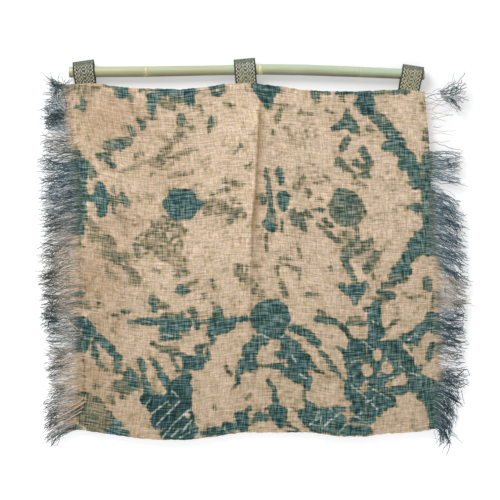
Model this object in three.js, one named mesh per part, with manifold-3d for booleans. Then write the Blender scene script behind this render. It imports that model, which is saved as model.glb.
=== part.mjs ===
import * as THREE from "three";
import { mergeVertices } from "three/addons/utils/BufferGeometryUtils.js";
import Module from "manifold-3d";

// A dyed raffia cloth that hangs by three ribbon tabs from a bamboo rod, with its weft ends
// left as a fringe down both sides. Millimetres, +Z up, the cloth's face towards -Y.
// The origin is on the rod's axis, at the middle of its length.

const TOUCH = 0.35; // gap between pieces that touch

const ROD = {
  halfLength: 330,
  sides: 16,
  stepLength: 30,
  knuckles: [-187, 25, 212],
};

// A knuckle, from one side to the other: a fine groove and then a low ring.
const KNUCKLE = [
  { along: -4, rise: 0 },
  { along: -2, rise: -0.35 },
  { along: 0, rise: 0.7 },
  { along: 4, rise: 0 },
];

// The rod's axis bows up a little in the middle, and the cane's radius changes along it.
const ROD_LINE = [
  { x: -330, z: -4.2, radius: 10.1 },
  { x: -190, z: -3.2, radius: 9.8 },
  { x: -60, z: -1.0, radius: 9.3 },
  { x: 30, z: 0.8, radius: 9.9 },
  { x: 100, z: 0.0, radius: 10.0 },
  { x: 190, z: -3.2, radius: 9.8 },
  { x: 330, z: -9.2, radius: 9.4 },
];

const CLOTH = {
  thickness: 1.6,
  columns: 34,
  rows: 30,
  backY: -1.6, // the back face, where the tabs hold it
};

const TOP_EDGE = [
  { x: -336, z: -28 },
  { x: -281, z: -25 },
  { x: -245, z: -31 },
  { x: -202, z: -35 },
  { x: -124, z: -37 },
  { x: -82, z: -33.5 },
  { x: -41, z: -26 },
  { x: 6, z: -24.5 },
  { x: 47, z: -29 },
  { x: 99, z: -37 },
  { x: 145, z: -40.5 },
  { x: 201, z: -41 },
  { x: 257, z: -38 },
  { x: 285, z: -36.5 },
  { x: 331, z: -41 },
];

const BOTTOM_EDGE = [
  { x: -327, z: -671.5 },
  { x: -310, z: -668.5 },
  { x: -286, z: -672.5 },
  { x: -217, z: -682.5 },
  { x: -171, z: -687 },
  { x: -106, z: -687 },
  { x: -59, z: -681.5 },
  { x: -13, z: -674.5 },
  { x: 117, z: -673.5 },
  { x: 173, z: -681 },
  { x: 220, z: -681 },
  { x: 257, z: -676 },
  { x: 322, z: -672.5 },
  { x: 354, z: -666 },
];

const LEFT_EDGE = [
  { z: -28, x: -336 },
  { z: -74, x: -332.5 },
  { z: -102, x: -329 },
  { z: -158, x: -317.5 },
  { z: -204, x: -316 },
  { z: -242, x: -310.5 },
  { z: -297, x: -314 },
  { z: -520, x: -312 },
  { z: -595, x: -316 },
  { z: -671, x: -327 },
];

const RIGHT_EDGE = [
  { z: -41, x: 331 },
  { z: -74, x: 335 },
  { z: -149, x: 340.5 },
  { z: -232, x: 342.5 },
  { z: -344, x: 348 },
  { z: -363, x: 352.5 },
  { z: -521, x: 353.5 },
  { z: -666, x: 353.5 },
];

// The crease where the cloth was once folded in half: a ridge that fades towards the hem.
const CREASE = [
  { z: -25, x: 27, rise: 1.5 },
  { z: -75, x: 22, rise: 5.5 },
  { z: -240, x: 14, rise: 7.5 },
  { z: -285, x: 8, rise: 7.5 },
  { z: -430, x: 6, rise: 5 },
  { z: -560, x: 8, rise: 1.5 },
  { z: -690, x: 10, rise: 0 },
];
const CREASE_SPREAD = 46; // how far each side of the ridge falls away

// Shallow sideways creases, soft steps in the cloth from its folding.
const CROSS_CREASE_END = 60; // the length over which each fades out
const CROSS_CREASES = [
  { z: -468, from: -230, to: 20, rise: 2.0, spread: 13 },
  { z: -517, from: 150, to: 300, rise: 1.8, spread: 13 },
];

// Slow waves of the hanging cloth, as bulges towards the viewer.
const BULGES = [
  { x: -170, z: -60, spreadX: 90, spreadZ: 70, rise: 5.5 },
  { x: 165, z: -66, spreadX: 95, spreadZ: 75, rise: 6.5 },
  { x: -215, z: -330, spreadX: 90, spreadZ: 160, rise: 3 },
  { x: 235, z: -300, spreadX: 80, spreadZ: 150, rise: 3.5 },
  { x: -135, z: -650, spreadX: 100, spreadZ: 110, rise: 6.5 },
  { x: 195, z: -640, spreadX: 90, spreadZ: 120, rise: 5.5 },
  { x: 330, z: -520, spreadX: 60, spreadZ: 120, rise: 3 },
];

const RIBBON = {
  width: 40,
  thickness: 1.2,
  tailLength: 25, // sewn behind the cloth's top edge
  steps: 2,
  arcSteps: 4,
  hold: 8, // how far round its tail a tab keeps the cloth flat
  release: 60, // and how far it takes the cloth to move freely
};

// Each loop's middle on the rod, its top fold and the point where its legs meet, both from the
// rod's axis, its lean to the side and the slope of its top fold.
const TABS = [
  { name: "tab_left", x: -302, peak: 21.6, meet: 19.5, lean: -0.106, slope: 0.136 },
  { name: "tab_middle", x: -3, peak: 21.0, meet: 22.5, lean: -0.08, slope: 0.07 },
  { name: "tab_right", x: 307, peak: 17.0, meet: 25.5, lean: 0.19, slope: -0.114 },
];

const FRINGE = {
  strands: 124,
  stripWidth: 4,
  rootRadius: 0.8,
  tipRadius: 0.42,
  segments: 4,
  sides: 3,
  layerDepths: [-3.4, 0.2, 3.2], // strands side by side take turns in these depths
  layerSpread: 0.35, // the part of a strand's length in which it reaches its depth
  shortest: 0.78, // of the flow's length
  fallJitter: 5,
  placeJitter: 0.15, // of the distance between roots
  waveHeight: 2.2,
  waveTurns: 0.75,
};

// Which way the weft ends lie: the longest length, and the fall below the level in degrees.
const LEFT_FLOW = [
  { z: -28, length: 54, fall: -42 },
  { z: -40, length: 56, fall: -24 },
  { z: -50, length: 52, fall: -6 },
  { z: -62, length: 44, fall: 24 },
  { z: -85, length: 46, fall: 10 },
  { z: -112, length: 54, fall: -7 },
  { z: -140, length: 68, fall: 2 },
  { z: -220, length: 71, fall: 8 },
  { z: -340, length: 73, fall: 11 },
  { z: -440, length: 71, fall: 4 },
  { z: -500, length: 63, fall: 4 },
  { z: -545, length: 67, fall: 6 },
  { z: -578, length: 54, fall: 8 },
  { z: -610, length: 68, fall: 13 },
  { z: -645, length: 60, fall: 24 },
  { z: -672, length: 54, fall: 33 },
];

const RIGHT_FLOW = [
  { z: -41, length: 62, fall: -38 },
  { z: -52, length: 70, fall: -20 },
  { z: -64, length: 70, fall: 2 },
  { z: -78, length: 64, fall: 16 },
  { z: -100, length: 56, fall: 8 },
  { z: -150, length: 64, fall: 2 },
  { z: -212, length: 69, fall: 7 },
  { z: -400, length: 68, fall: 6 },
  { z: -450, length: 52, fall: 8 },
  { z: -510, length: 61, fall: 4 },
  { z: -540, length: 45, fall: 4 },
  { z: -570, length: 64, fall: 8 },
  { z: -600, length: 64, fall: 22 },
  { z: -630, length: 68, fall: 52 },
  { z: -666, length: 60, fall: 66 },
];

// The value of one column of a table at a place along another, straight between rows.
function lookUp(rows, key, place, column) {
  const rising = rows[rows.length - 1][key] > rows[0][key];
  const sorted = rising ? rows : [...rows].reverse();
  if (place <= sorted[0][key]) return sorted[0][column];
  for (let i = 1; i < sorted.length; i += 1) {
    const low = sorted[i - 1];
    const high = sorted[i];
    if (place <= high[key]) {
      const share = (place - low[key]) / (high[key] - low[key]);
      return THREE.MathUtils.lerp(low[column], high[column], share);
    }
  }
  return sorted[sorted.length - 1][column];
}

function bell(distance, spread) {
  return Math.exp(-((distance / spread) ** 2));
}

function seededRandom(seed) {
  let state = seed;
  return () => {
    state = (state * 16807) % 2147483647;
    return state / 2147483647;
  };
}

function moveVertices(geometry, place) {
  const position = geometry.attributes.position;
  const point = new THREE.Vector3();
  for (let i = 0; i < position.count; i += 1) {
    point.fromBufferAttribute(position, i);
    place(point);
    position.setXYZ(i, point.x, point.y, point.z);
  }
  return geometry;
}

function welded(geometry) {
  geometry.deleteAttribute("normal");
  geometry.deleteAttribute("uv");
  return mergeVertices(geometry, 1e-4);
}

function finish(geometry) {
  const closed = welded(geometry);
  closed.computeVertexNormals();
  return closed;
}

function piece(name, geometry, look) {
  const mesh = new THREE.Mesh(geometry, new THREE.MeshStandardMaterial(look));
  mesh.name = name;
  return mesh;
}

// How far the cloth stands forward of the flat plane in which the tabs hold it.
function relief(x, z) {
  let rise = 0;
  for (const bulge of BULGES) {
    rise += bulge.rise * bell(x - bulge.x, bulge.spreadX) * bell(z - bulge.z, bulge.spreadZ);
  }
  const fromCrease = Math.abs(x - lookUp(CREASE, "z", z, "x"));
  rise += lookUp(CREASE, "z", z, "rise") * Math.exp(-fromCrease / CREASE_SPREAD);
  for (const fold of CROSS_CREASES) {
    const inside = THREE.MathUtils.smoothstep(x, fold.from, fold.from + CROSS_CREASE_END)
      * (1 - THREE.MathUtils.smoothstep(x, fold.to - CROSS_CREASE_END, fold.to));
    rise += fold.rise * inside * bell(z - fold.z, fold.spread);
  }
  return rise * freeOfTabs(x, z);
}

// 0 where a tab's tail is sewn on, and 1 away from it.
function freeOfTabs(x, z) {
  let free = 1;
  for (const tab of TABS) {
    const tailEnd = lookUp(TOP_EDGE, "x", tab.x, "z") - RIBBON.tailLength;
    const aside = Math.max(0, Math.abs(x - tab.x) - RIBBON.width / 2 - RIBBON.hold);
    const below = Math.max(0, tailEnd - RIBBON.hold - z);
    free *= THREE.MathUtils.smoothstep(Math.hypot(aside, below), 0, RIBBON.release);
  }
  return free;
}

// The cloth's columns close up on the crease, so that one of them runs along it.
function clothPoint(across, down) {
  const level = THREE.MathUtils.lerp(TOP_EDGE[0].z, BOTTOM_EDGE[0].z, down);
  const left = lookUp(LEFT_EDGE, "z", level, "x");
  const right = lookUp(RIGHT_EDGE, "z", level, "x");
  const ridge = (lookUp(CREASE, "z", level, "x") - left) / (right - left);
  const share = across < 0.5 ? across * 2 * ridge : ridge + (across - 0.5) * 2 * (1 - ridge);
  const x = THREE.MathUtils.lerp(left, right, share);
  const top = lookUp(TOP_EDGE, "x", x, "z");
  const bottom = lookUp(BOTTOM_EDGE, "x", x, "z");
  return { x, z: THREE.MathUtils.lerp(top, bottom, down) };
}

function makeCloth() {
  const box = new THREE.BoxGeometry(1, 1, 1, CLOTH.columns, 1, CLOTH.rows);
  moveVertices(box, (point) => {
    const place = clothPoint(point.x + 0.5, 0.5 - point.z);
    const layer = (point.y - 0.5) * CLOTH.thickness;
    point.set(place.x, CLOTH.backY + layer - relief(place.x, place.z), place.z);
  });
  return piece("cloth", finish(box), { color: 0xcdb08f, roughness: 0.92, metalness: 0 });
}

function rodRadius(x) {
  let radius = lookUp(ROD_LINE, "x", x, "radius");
  for (const knuckle of ROD.knuckles) radius += lookUp(KNUCKLE, "along", x - knuckle, "rise");
  return radius;
}

function makeRod() {
  const stations = [];
  const steps = Math.round((2 * ROD.halfLength) / ROD.stepLength);
  for (let i = 0; i <= steps; i += 1) {
    const x = -ROD.halfLength + (i / steps) * 2 * ROD.halfLength;
    const clear = ROD.knuckles.every((knuckle) => Math.abs(knuckle - x) > ROD.stepLength / 2);
    if (clear) stations.push(x);
  }
  for (const knuckle of ROD.knuckles) {
    for (const ring of KNUCKLE) stations.push(knuckle + ring.along);
  }
  stations.sort((a, b) => a - b);
  const profile = stations.map((x) => new THREE.Vector2(rodRadius(x), x));
  profile.unshift(new THREE.Vector2(0, -ROD.halfLength));
  profile.push(new THREE.Vector2(0, ROD.halfLength));
  const lathe = new THREE.LatheGeometry(profile, ROD.sides);
  lathe.rotateZ(-Math.PI / 2);
  moveVertices(lathe, (point) => {
    point.z += lookUp(ROD_LINE, "x", point.x, "z");
  });
  return piece("rod", finish(lathe), { color: 0xb4bb93, roughness: 0.45, metalness: 0 });
}

// A ribbon loop, seen from its side: two legs that lie against the rod, a creased fold above
// it, and two layers below that are sewn together behind the cloth.
function tabSection(inner, tab, lowestPeak, tailEnd) {
  const { thickness, arcSteps } = RIBBON;
  const outer = inner + thickness;
  const above = Math.asin(inner / (lowestPeak - thickness));
  const below = Math.asin(inner / tab.meet);
  const rounding = 1 / Math.cos((above + below) / arcSteps / 2);
  const frontLeg = (radius) => {
    const points = [];
    for (let i = 0; i <= arcSteps; i += 1) {
      const angle = THREE.MathUtils.lerp(-below, above, i / arcSteps);
      const reach = i === 0 || i === arcSteps ? radius : radius * rounding;
      points.push(new THREE.Vector2(-reach * Math.cos(angle), reach * Math.sin(angle)));
    }
    return points;
  };
  const mirrored = (points) => points.map((p) => new THREE.Vector2(-p.x, p.y)).reverse();
  const tip = inner / Math.sin(above);
  const seam = -(outer - thickness * Math.cos(below)) / Math.sin(below);
  const front = [
    new THREE.Vector2(-thickness, -tailEnd),
    new THREE.Vector2(-thickness, seam),
    ...frontLeg(outer),
    new THREE.Vector2(-thickness * Math.cos(above), tip + thickness * Math.sin(above)),
  ];
  const shape = new THREE.Shape([...front, new THREE.Vector2(0, tip + thickness), ...mirrored(front)]);
  const side = frontLeg(inner);
  const bottom = new THREE.Vector2(0, -inner / Math.sin(below));
  const opening = [bottom, ...side, new THREE.Vector2(0, tip), ...mirrored(side)];
  shape.holes.push(new THREE.Path(opening.reverse()));
  return { shape, legTop: outer * Math.sin(above), peak: tip + thickness };
}

function makeTab(tab) {
  const half = RIBBON.width / 2;
  const radii = [-half, half].map((aside) => lookUp(ROD_LINE, "x", tab.x + aside, "radius"));
  const rise = Math.abs(tab.slope) * half;
  const drop = lookUp(ROD_LINE, "x", tab.x, "z") - lookUp(TOP_EDGE, "x", tab.x, "z");
  const { shape, legTop, peak } = tabSection(
    Math.max(...radii) + TOUCH, tab, tab.peak - rise, drop + RIBBON.tailLength,
  );
  const loop = new THREE.ExtrudeGeometry(shape, {
    depth: RIBBON.width,
    steps: RIBBON.steps,
    bevelEnabled: false,
  });
  moveVertices(loop, (point) => {
    const along = point.z - half;
    const share = Math.max(0, (point.y - legTop) / (peak - legTop));
    const height = point.y + share * (rise + tab.slope * along);
    const x = tab.x + along + tab.lean * height;
    point.set(x, point.x, lookUp(ROD_LINE, "x", x, "z") + height);
  });
  return piece(tab.name, finish(loop), { color: 0x8d8f7c, roughness: 0.8, metalness: 0 });
}

const wasm = await Module();
wasm.setup();

function toSolid(geometry) {
  const closed = welded(geometry);
  return new wasm.Manifold(new wasm.Mesh({
    numProp: 3,
    vertProperties: new Float32Array(closed.attributes.position.array),
    triVerts: new Uint32Array(closed.index.array),
  }));
}

function fromSolid(solid) {
  const mesh = solid.getMesh();
  const geometry = new THREE.BufferGeometry();
  geometry.setAttribute("position", new THREE.BufferAttribute(mesh.vertProperties, 3));
  geometry.setIndex(new THREE.BufferAttribute(mesh.triVerts, 1));
  geometry.computeVertexNormals();
  return geometry;
}

// side is -1 for the left edge and 1 for the right one.
function fringeStrip(side) {
  const box = new THREE.BoxGeometry(1, 1, 1, 1, 1, CLOTH.rows);
  moveVertices(box, (point) => {
    const edge = clothPoint((side + 1) / 2, 0.5 - point.z);
    const outward = TOUCH + (side * point.x + 0.5) * FRINGE.stripWidth;
    const layer = (point.y - 0.5) * CLOTH.thickness;
    point.set(edge.x + side * outward, CLOTH.backY + layer - relief(edge.x, edge.z), edge.z);
  });
  return box;
}

function fringeStrand(side, flow, down, layer, random) {
  const root = clothPoint((side + 1) / 2, down);
  const depth = CLOTH.backY - CLOTH.thickness / 2 - relief(root.x, root.z);
  const length = lookUp(flow, "z", root.z, "length")
    * THREE.MathUtils.lerp(FRINGE.shortest, 1, random());
  const fall = THREE.MathUtils.degToRad(
    lookUp(flow, "z", root.z, "fall") + FRINGE.fallJitter * (2 * random() - 1),
  );
  const wave = FRINGE.waveHeight * (2 * random() - 1);
  const phase = random() * Math.PI;
  const strand = new THREE.ConeGeometry(1, 1, FRINGE.sides, FRINGE.segments);
  const start = TOUCH + FRINGE.stripWidth / 2;
  return moveVertices(strand, (point) => {
    const along = point.y + 0.5;
    const turn = fall * Math.sqrt(along);
    const sway = wave * along * Math.sin(phase + along * FRINGE.waveTurns * 2 * Math.PI);
    const spread = THREE.MathUtils.smoothstep(along, 0, FRINGE.layerSpread);
    const ring = Math.hypot(point.x, point.z);
    const radius = THREE.MathUtils.lerp(FRINGE.rootRadius, FRINGE.tipRadius, along);
    const scale = ring > 0 ? radius / ring : 0; // the tip and the root's centre stay points
    const across = point.x * scale;
    const through = point.z * scale;
    const outward = start + along * length * Math.cos(turn) + (across + sway) * Math.sin(turn);
    point.set(
      root.x + side * outward,
      depth + spread * layer + through * side,
      root.z - along * length * Math.sin(turn) + (across + sway) * Math.cos(turn),
    );
  });
}

function makeFringe(name, side, flow, seed) {
  const random = seededRandom(seed);
  let fringe = toSolid(fringeStrip(side));
  for (let i = 0; i < FRINGE.strands; i += 1) {
    const shift = FRINGE.placeJitter * (2 * random() - 1);
    const down = (i + 0.5 + shift) / FRINGE.strands;
    const layer = FRINGE.layerDepths[i % FRINGE.layerDepths.length];
    fringe = fringe.add(toSolid(fringeStrand(side, flow, down, layer, random)));
  }
  return piece(name, fromSolid(fringe), { color: 0x4c5f5f, roughness: 0.85, metalness: 0 });
}

const group = new THREE.Group();
group.add(makeCloth(), makeRod(), ...TABS.map(makeTab));
group.add(makeFringe("fringe_left", -1, LEFT_FLOW, 41));
group.add(makeFringe("fringe_right", 1, RIGHT_FLOW, 97));

export default group;
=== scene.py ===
import math
import bpy
import bmesh
import numpy as np
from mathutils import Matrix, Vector


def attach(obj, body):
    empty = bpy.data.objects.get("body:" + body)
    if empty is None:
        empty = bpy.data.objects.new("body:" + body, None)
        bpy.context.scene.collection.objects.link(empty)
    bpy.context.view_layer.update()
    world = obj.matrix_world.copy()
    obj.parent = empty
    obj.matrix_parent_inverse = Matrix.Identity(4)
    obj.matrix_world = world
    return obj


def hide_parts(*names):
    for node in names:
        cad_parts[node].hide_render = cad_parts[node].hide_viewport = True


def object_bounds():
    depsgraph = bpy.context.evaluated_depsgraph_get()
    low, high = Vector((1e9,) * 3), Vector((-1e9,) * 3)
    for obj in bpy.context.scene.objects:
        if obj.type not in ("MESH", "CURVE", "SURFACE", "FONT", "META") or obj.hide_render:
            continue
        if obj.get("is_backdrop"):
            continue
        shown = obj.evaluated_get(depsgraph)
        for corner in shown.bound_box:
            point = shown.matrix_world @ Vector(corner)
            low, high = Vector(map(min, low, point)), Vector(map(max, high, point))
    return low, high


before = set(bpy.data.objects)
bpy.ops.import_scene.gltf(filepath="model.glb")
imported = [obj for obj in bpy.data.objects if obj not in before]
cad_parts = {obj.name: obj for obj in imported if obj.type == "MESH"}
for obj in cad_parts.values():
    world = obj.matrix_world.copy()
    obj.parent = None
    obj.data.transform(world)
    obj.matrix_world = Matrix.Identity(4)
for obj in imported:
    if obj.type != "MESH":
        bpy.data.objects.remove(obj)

# A dyed raffia cloth hung by ribbon loops from a bamboo rod. The pieces' sizes are millimetres, turned
# to metres as each mesh is placed, apart from those marked as metres. +Z up, the cloth's face towards -Y.
mm = 0.001
cadBox = [list(corner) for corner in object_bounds()]

# The camera stands square to the cloth. In metres, but for the sensor.
view = {"x": 0.006, "z": -0.335, "distance": 2.6, "field": 0.93, "sensor": 36}


def addCamera():
    data = bpy.data.cameras.new("viewCamera")
    data.sensor_width = view["sensor"]
    data.lens = view["sensor"] * view["distance"] / view["field"]
    camera = bpy.data.objects.new("viewCamera", data)
    camera.location = (view["x"], -view["distance"], view["z"])
    camera.rotation_euler = (math.pi / 2, 0, 0)
    bpy.context.scene.collection.objects.link(camera)
    bpy.context.scene.camera = camera


addCamera()
print("camera set")


# General helpers for tables, noise and meshes

def alongTable(rows, place, column=1):
    ordered = sorted(rows)
    return np.interp(place, [row[0] for row in ordered], [row[column] for row in ordered])


def smoothStep(value, low, high):
    share = np.clip((value - low) / (high - low), 0, 1)
    return share * share * (3 - 2 * share)


def bell(distance, spread):
    return np.exp(-((distance / spread) ** 2))


noiseCells = 256  # before the noise repeats


def softNoise(x, y, cellX, cellY, seed):
    table = np.random.default_rng(seed).random((noiseCells, noiseCells))
    gridX, gridY = x / cellX, y / cellY
    left, low = np.floor(gridX).astype(int), np.floor(gridY).astype(int)
    shareX, shareY = smoothStep(gridX - left, 0, 1), smoothStep(gridY - low, 0, 1)
    corner = lambda stepX, stepY: table[(left + stepX) % noiseCells, (low + stepY) % noiseCells]
    near = corner(0, 0) * (1 - shareX) + corner(1, 0) * shareX
    far = corner(0, 1) * (1 - shareX) + corner(1, 1) * shareX
    return near * (1 - shareY) + far * shareY


def addPiece(name, mesh, material, replaced=()):
    piece = bpy.data.objects.new(name, mesh)
    bpy.context.scene.collection.objects.link(piece)
    mesh.materials.append(material)
    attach(piece, "root")
    if replaced:
        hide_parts(*replaced)
    return piece


def readVerts(mesh, name):
    values = np.zeros(len(mesh.vertices), dtype=np.float32)
    mesh.attributes[name].data.foreach_get("value", values)
    return values


def writeVerts(mesh, name, values):
    attribute = mesh.attributes.new(name, "FLOAT", "POINT")
    attribute.data.foreach_set("value", np.asarray(values, dtype=np.float32))


def placeVerts(mesh, x, y, z):
    points = np.stack([x, y, z], axis=-1) * mm
    mesh.vertices.foreach_set("co", points.astype(np.float32).ravel())
    mesh.update()


def writeUV(mesh, name, across, along):
    corners = np.zeros(len(mesh.loops), dtype=np.int32)
    mesh.loops.foreach_get("vertex_index", corners)
    layer = mesh.uv_layers.new(name=name)
    places = np.stack([across[corners], along[corners]], axis=-1)
    layer.data.foreach_set("uv", places.astype(np.float32).ravel())


def makeGrid(name, columns, rows):
    bm = bmesh.new()
    bmesh.ops.create_grid(bm, x_segments=columns, y_segments=rows, size=0.5)
    for face in bm.faces:
        face.smooth = True
    mesh = bpy.data.meshes.new(name)
    bm.to_mesh(mesh)
    bm.free()
    points = np.zeros(len(mesh.vertices) * 3, dtype=np.float32)
    mesh.vertices.foreach_get("co", points)
    points = points.reshape(-1, 3).astype(float)
    return mesh, points[:, 0] + 0.5, points[:, 1] + 0.5


def turnOutwards(mesh):
    bm = bmesh.new()
    bm.from_mesh(mesh)
    bmesh.ops.recalc_face_normals(bm, faces=bm.faces)
    bm.to_mesh(mesh)
    bm.free()


# Tubes that all have the same number of rings grow together: one circle for each, and then one
# extrusion of every circle for each ring. paths is (tubes, rings, 3), radii (tubes, rings).
def growTubes(name, paths, radii, sides):
    tubes, rings = paths.shape[:2]
    bm = bmesh.new()
    tubeLayer = bm.verts.layers.int.new("tube")
    ringLayer = bm.verts.layers.int.new("ring")
    angleLayer = bm.verts.layers.float.new("angle")
    for tube in range(tubes):
        for vert in bmesh.ops.create_circle(bm, segments=sides, radius=1)["verts"]:
            vert[tubeLayer] = tube
            vert[angleLayer] = math.atan2(vert.co.y, vert.co.x)
    rim = list(bm.edges)
    ends = list(rim)
    for ring in range(1, rings):
        grown = bmesh.ops.extrude_edge_only(bm, edges=rim)["geom"]
        for element in grown:
            if isinstance(element, bmesh.types.BMVert):
                element[ringLayer] = ring
        edges = [element for element in grown if isinstance(element, bmesh.types.BMEdge)]
        rim = [edge for edge in edges if all(vert[ringLayer] == ring for vert in edge.verts)]
    bmesh.ops.edgeloop_fill(bm, edges=ends + rim)
    for face in bm.faces:
        face.smooth = True
    mesh = bpy.data.meshes.new(name)
    bm.to_mesh(mesh)
    bm.free()
    tube = readVerts(mesh, "tube").astype(int)
    ring = readVerts(mesh, "ring").astype(int)
    angle = readVerts(mesh, "angle")
    for helper in ("tube", "ring", "angle"):
        mesh.attributes.remove(mesh.attributes[helper])
    tangent = np.gradient(paths, axis=1)
    tangent /= np.linalg.norm(tangent, axis=2, keepdims=True) + 1e-9
    aside = np.cross(tangent, np.array([0.0, 1.0, 0.0]))
    aside /= np.linalg.norm(aside, axis=2, keepdims=True) + 1e-9
    through = np.cross(tangent, aside)
    spin = aside[tube, ring] * np.cos(angle)[:, None] + through[tube, ring] * np.sin(angle)[:, None]
    points = paths[tube, ring] + spin * radii[tube, ring][:, None]
    placeVerts(mesh, points[:, 0], points[:, 1], points[:, 2])
    turnOutwards(mesh)
    return mesh, tube, ring, angle


# Helpers for the finishes

def startFinish(name, roughness, specular=0.35):
    material = bpy.data.materials.new(name)
    material.use_nodes = True
    shader = material.node_tree.nodes["Principled BSDF"]
    shader.inputs["Roughness"].default_value = roughness
    shader.inputs["Specular IOR Level"].default_value = specular
    return material, material.node_tree, shader


def addNode(tree, kind, inputs, **settings):
    node = tree.nodes.new("ShaderNode" + kind)
    for key, value in settings.items():
        setattr(node, key, value)
    for key, value in inputs.items():
        if isinstance(value, bpy.types.NodeSocket):
            tree.links.new(value, node.inputs[key])
        else:
            node.inputs[key].default_value = value
    return node


def calc(tree, operation, first, second=0.0, third=0.0):
    return addNode(tree, "Math", {0: first, 1: second, 2: third}, operation=operation).outputs[0]


def blendValues(tree, share, low, high):
    return addNode(tree, "Mix", {0: share, 2: low, 3: high}).outputs[0]


def blendColours(tree, share, low, high):
    return addNode(tree, "Mix", {0: share, 6: low, 7: high}, data_type="RGBA").outputs[2]


def shadeBy(tree, colour, value):
    factors = {0: 1.0, 6: colour, 7: value}
    return addNode(tree, "Mix", factors, data_type="RGBA", blend_type="MULTIPLY").outputs[2]


def mapValues(tree, value, low, high, start=0.0, end=1.0, **settings):
    return addNode(tree, "MapRange", {0: value, 1: low, 2: high, 3: start, 4: end}, **settings).outputs[0]


def readAttribute(tree, name):
    return addNode(tree, "Attribute", {}, attribute_name=name).outputs["Fac"]


def readPlace(tree):
    return addNode(tree, "TexCoord", {}).outputs["Object"]


def noiseAlong(tree, place, scale, detail=2.0):
    stretched = addNode(tree, "Mapping", {"Vector": place, "Scale": scale}).outputs[0]
    return addNode(tree, "TexNoise", {"Vector": stretched, "Scale": 1.0, "Detail": detail}).outputs[0]


def sRGB(red, green, blue):
    linear = [((c / 255 + 0.055) / 1.055) ** 2.4 if c > 10 else c / 255 / 12.92 for c in (red, green, blue)]
    return (*linear, 1)


def fillRamp(tree, value, stops):
    ramp = addNode(tree, "ValToRGB", {0: value})
    points = ramp.color_ramp.elements
    for number, (place, colour) in enumerate(stops):
        point = points[number] if number < 2 else points.new(place)
        point.position = place
        point.color = colour
    return ramp.outputs[0]


def addRamp(tree, value, stops):
    return fillRamp(tree, value, [(place, sRGB(*colour)) for place, colour in stops])


# A ramp of plain numbers, which may go past 1.
def addLevels(tree, value, stops):
    top = max(level for _, level in stops)
    levels = fillRamp(tree, value, [(place, (*[level / top] * 3, 1)) for place, level in stops])
    return calc(tree, "MULTIPLY", levels, top)


def addBump(tree, shader, height, distance):
    bump = addNode(tree, "Bump", {"Height": height, "Distance": distance, "Strength": 1.0})
    tree.links.new(bump.outputs[0], shader.inputs["Normal"])


# The outline, creases and slow waves in which the cloth hangs

outline = {
    "top": [(-336, -28), (-281, -25), (-245, -31), (-202, -35), (-124, -37), (-82, -33.5), (-41, -26),
            (6, -24.5), (47, -29), (99, -37), (145, -40.5), (201, -41), (257, -38), (285, -36.5),
            (331, -41)],
    "bottom": [(-327, -671.5), (-310, -668.5), (-286, -672.5), (-217, -682.5), (-171, -687), (-106, -687),
               (-59, -681.5), (-13, -674.5), (117, -673.5), (173, -681), (220, -681), (257, -676),
               (322, -672.5), (354, -666)],
    "left": [(-28, -336), (-74, -332.5), (-102, -329), (-158, -317.5), (-204, -316), (-242, -310.5),
             (-297, -314), (-520, -312), (-595, -316), (-671, -327)],
    "right": [(-41, 331), (-74, 335), (-149, 340.5), (-232, 342.5), (-344, 348), (-363, 352.5),
              (-521, 353.5), (-666, 353.5)],
}
crease = {
    "ridge": [(-25, 27, 1.5), (-75, 22, 5.5), (-240, 14, 7.5), (-285, 8, 7.5), (-430, 6, 5), (-560, 8, 1.5),
              (-690, 10, 0)],  # z, x, rise
    "spread": 46,
    "sharp": (6.5, 34, 6),  # the fold line itself: its rise, and its spread to the left and right
    "fullRise": 6,  # where the ridge rises this much the fold line is at its sharpest
    "crossEnd": 60,
    "cross": [(-468, -230, 20, 2.0, 13), (-517, 150, 300, 1.8, 13)],  # z, from, to, rise, spread
    "bulges": [(-170, -60, 90, 70, 5.5), (165, -66, 95, 75, 6.5), (-215, -330, 90, 160, 3),
               (235, -300, 80, 150, 3.5), (-135, -650, 100, 110, 6.5), (195, -640, 90, 120, 5.5),
               (330, -520, 60, 120, 3)],  # x, z, spreadX, spreadZ, rise
}
rodSizes = {
    "halfLength": 330,
    "line": [(-330, -4.2, 10.1), (-190, -3.2, 9.8), (-60, -1.0, 9.3), (30, 0.8, 9.9), (100, 0.0, 10.0),
             (190, -3.2, 9.8), (330, -9.2, 9.4)],  # x, z, radius
    "knuckles": [-187, 25, 212],
    "prominence": [0.6, 1, 0.3],
    "sides": 48,
    "wall": 3.2,
    "hollow": 38,
    "floor": 0.3,
    "chamfer": (0.5, 0.6),  # of the sawn end's inner and outer rim
    "swell": [(0.75, 0.8, 2.2), (-0.45, -2.6, 0.9)],  # at a knuckle: rise, place, spread
    "stain": [(0.8, -2.6, 0.8), (0.35, 3.4, 0.9)],
    "paleRing": (0.75, 4.5),
    "near": 6,  # rings stand closer this near to a knuckle
    "closeStep": 0.6,
    "stations": 120,
    "uneven": (0.12, 18, 1),
}
ribbonSizes = {
    "width": 40,
    "thickness": 1.2,
    "gap": 0.35,
    "tail": 25,
    "hold": 8,
    "release": 60,
    "cell": 0.8,
    "stitch": 2.4,
    "sheet": 0.8,
    "border": 3,  # columns of the chart
    "middleContrast": 0.62,
    "ripple": (0.25, 9, 7),
    "uneven": (0.5, 1.5, 2.2),
    "fold": (9, 4),  # the darker fold starts and is full this far under the crown
    "foldTone": 0.72,
    "foldShare": 0.7,
    "tabs": {
        "Left": {"x": -302, "peak": 21.6, "meet": 19.5, "lean": -0.106, "slope": 0.136, "tone": 0.12,
                 "node": "tab_left"},
        "Middle": {"x": -3, "peak": 21.0, "meet": 22.5, "lean": -0.08, "slope": 0.07, "tone": 0,
                   "node": "tab_middle"},
        "Right": {"x": 307, "peak": 17.0, "meet": 25.5, "lean": 0.19, "slope": -0.114, "tone": -0.06,
                  "node": "tab_right"},
    },
}


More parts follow.
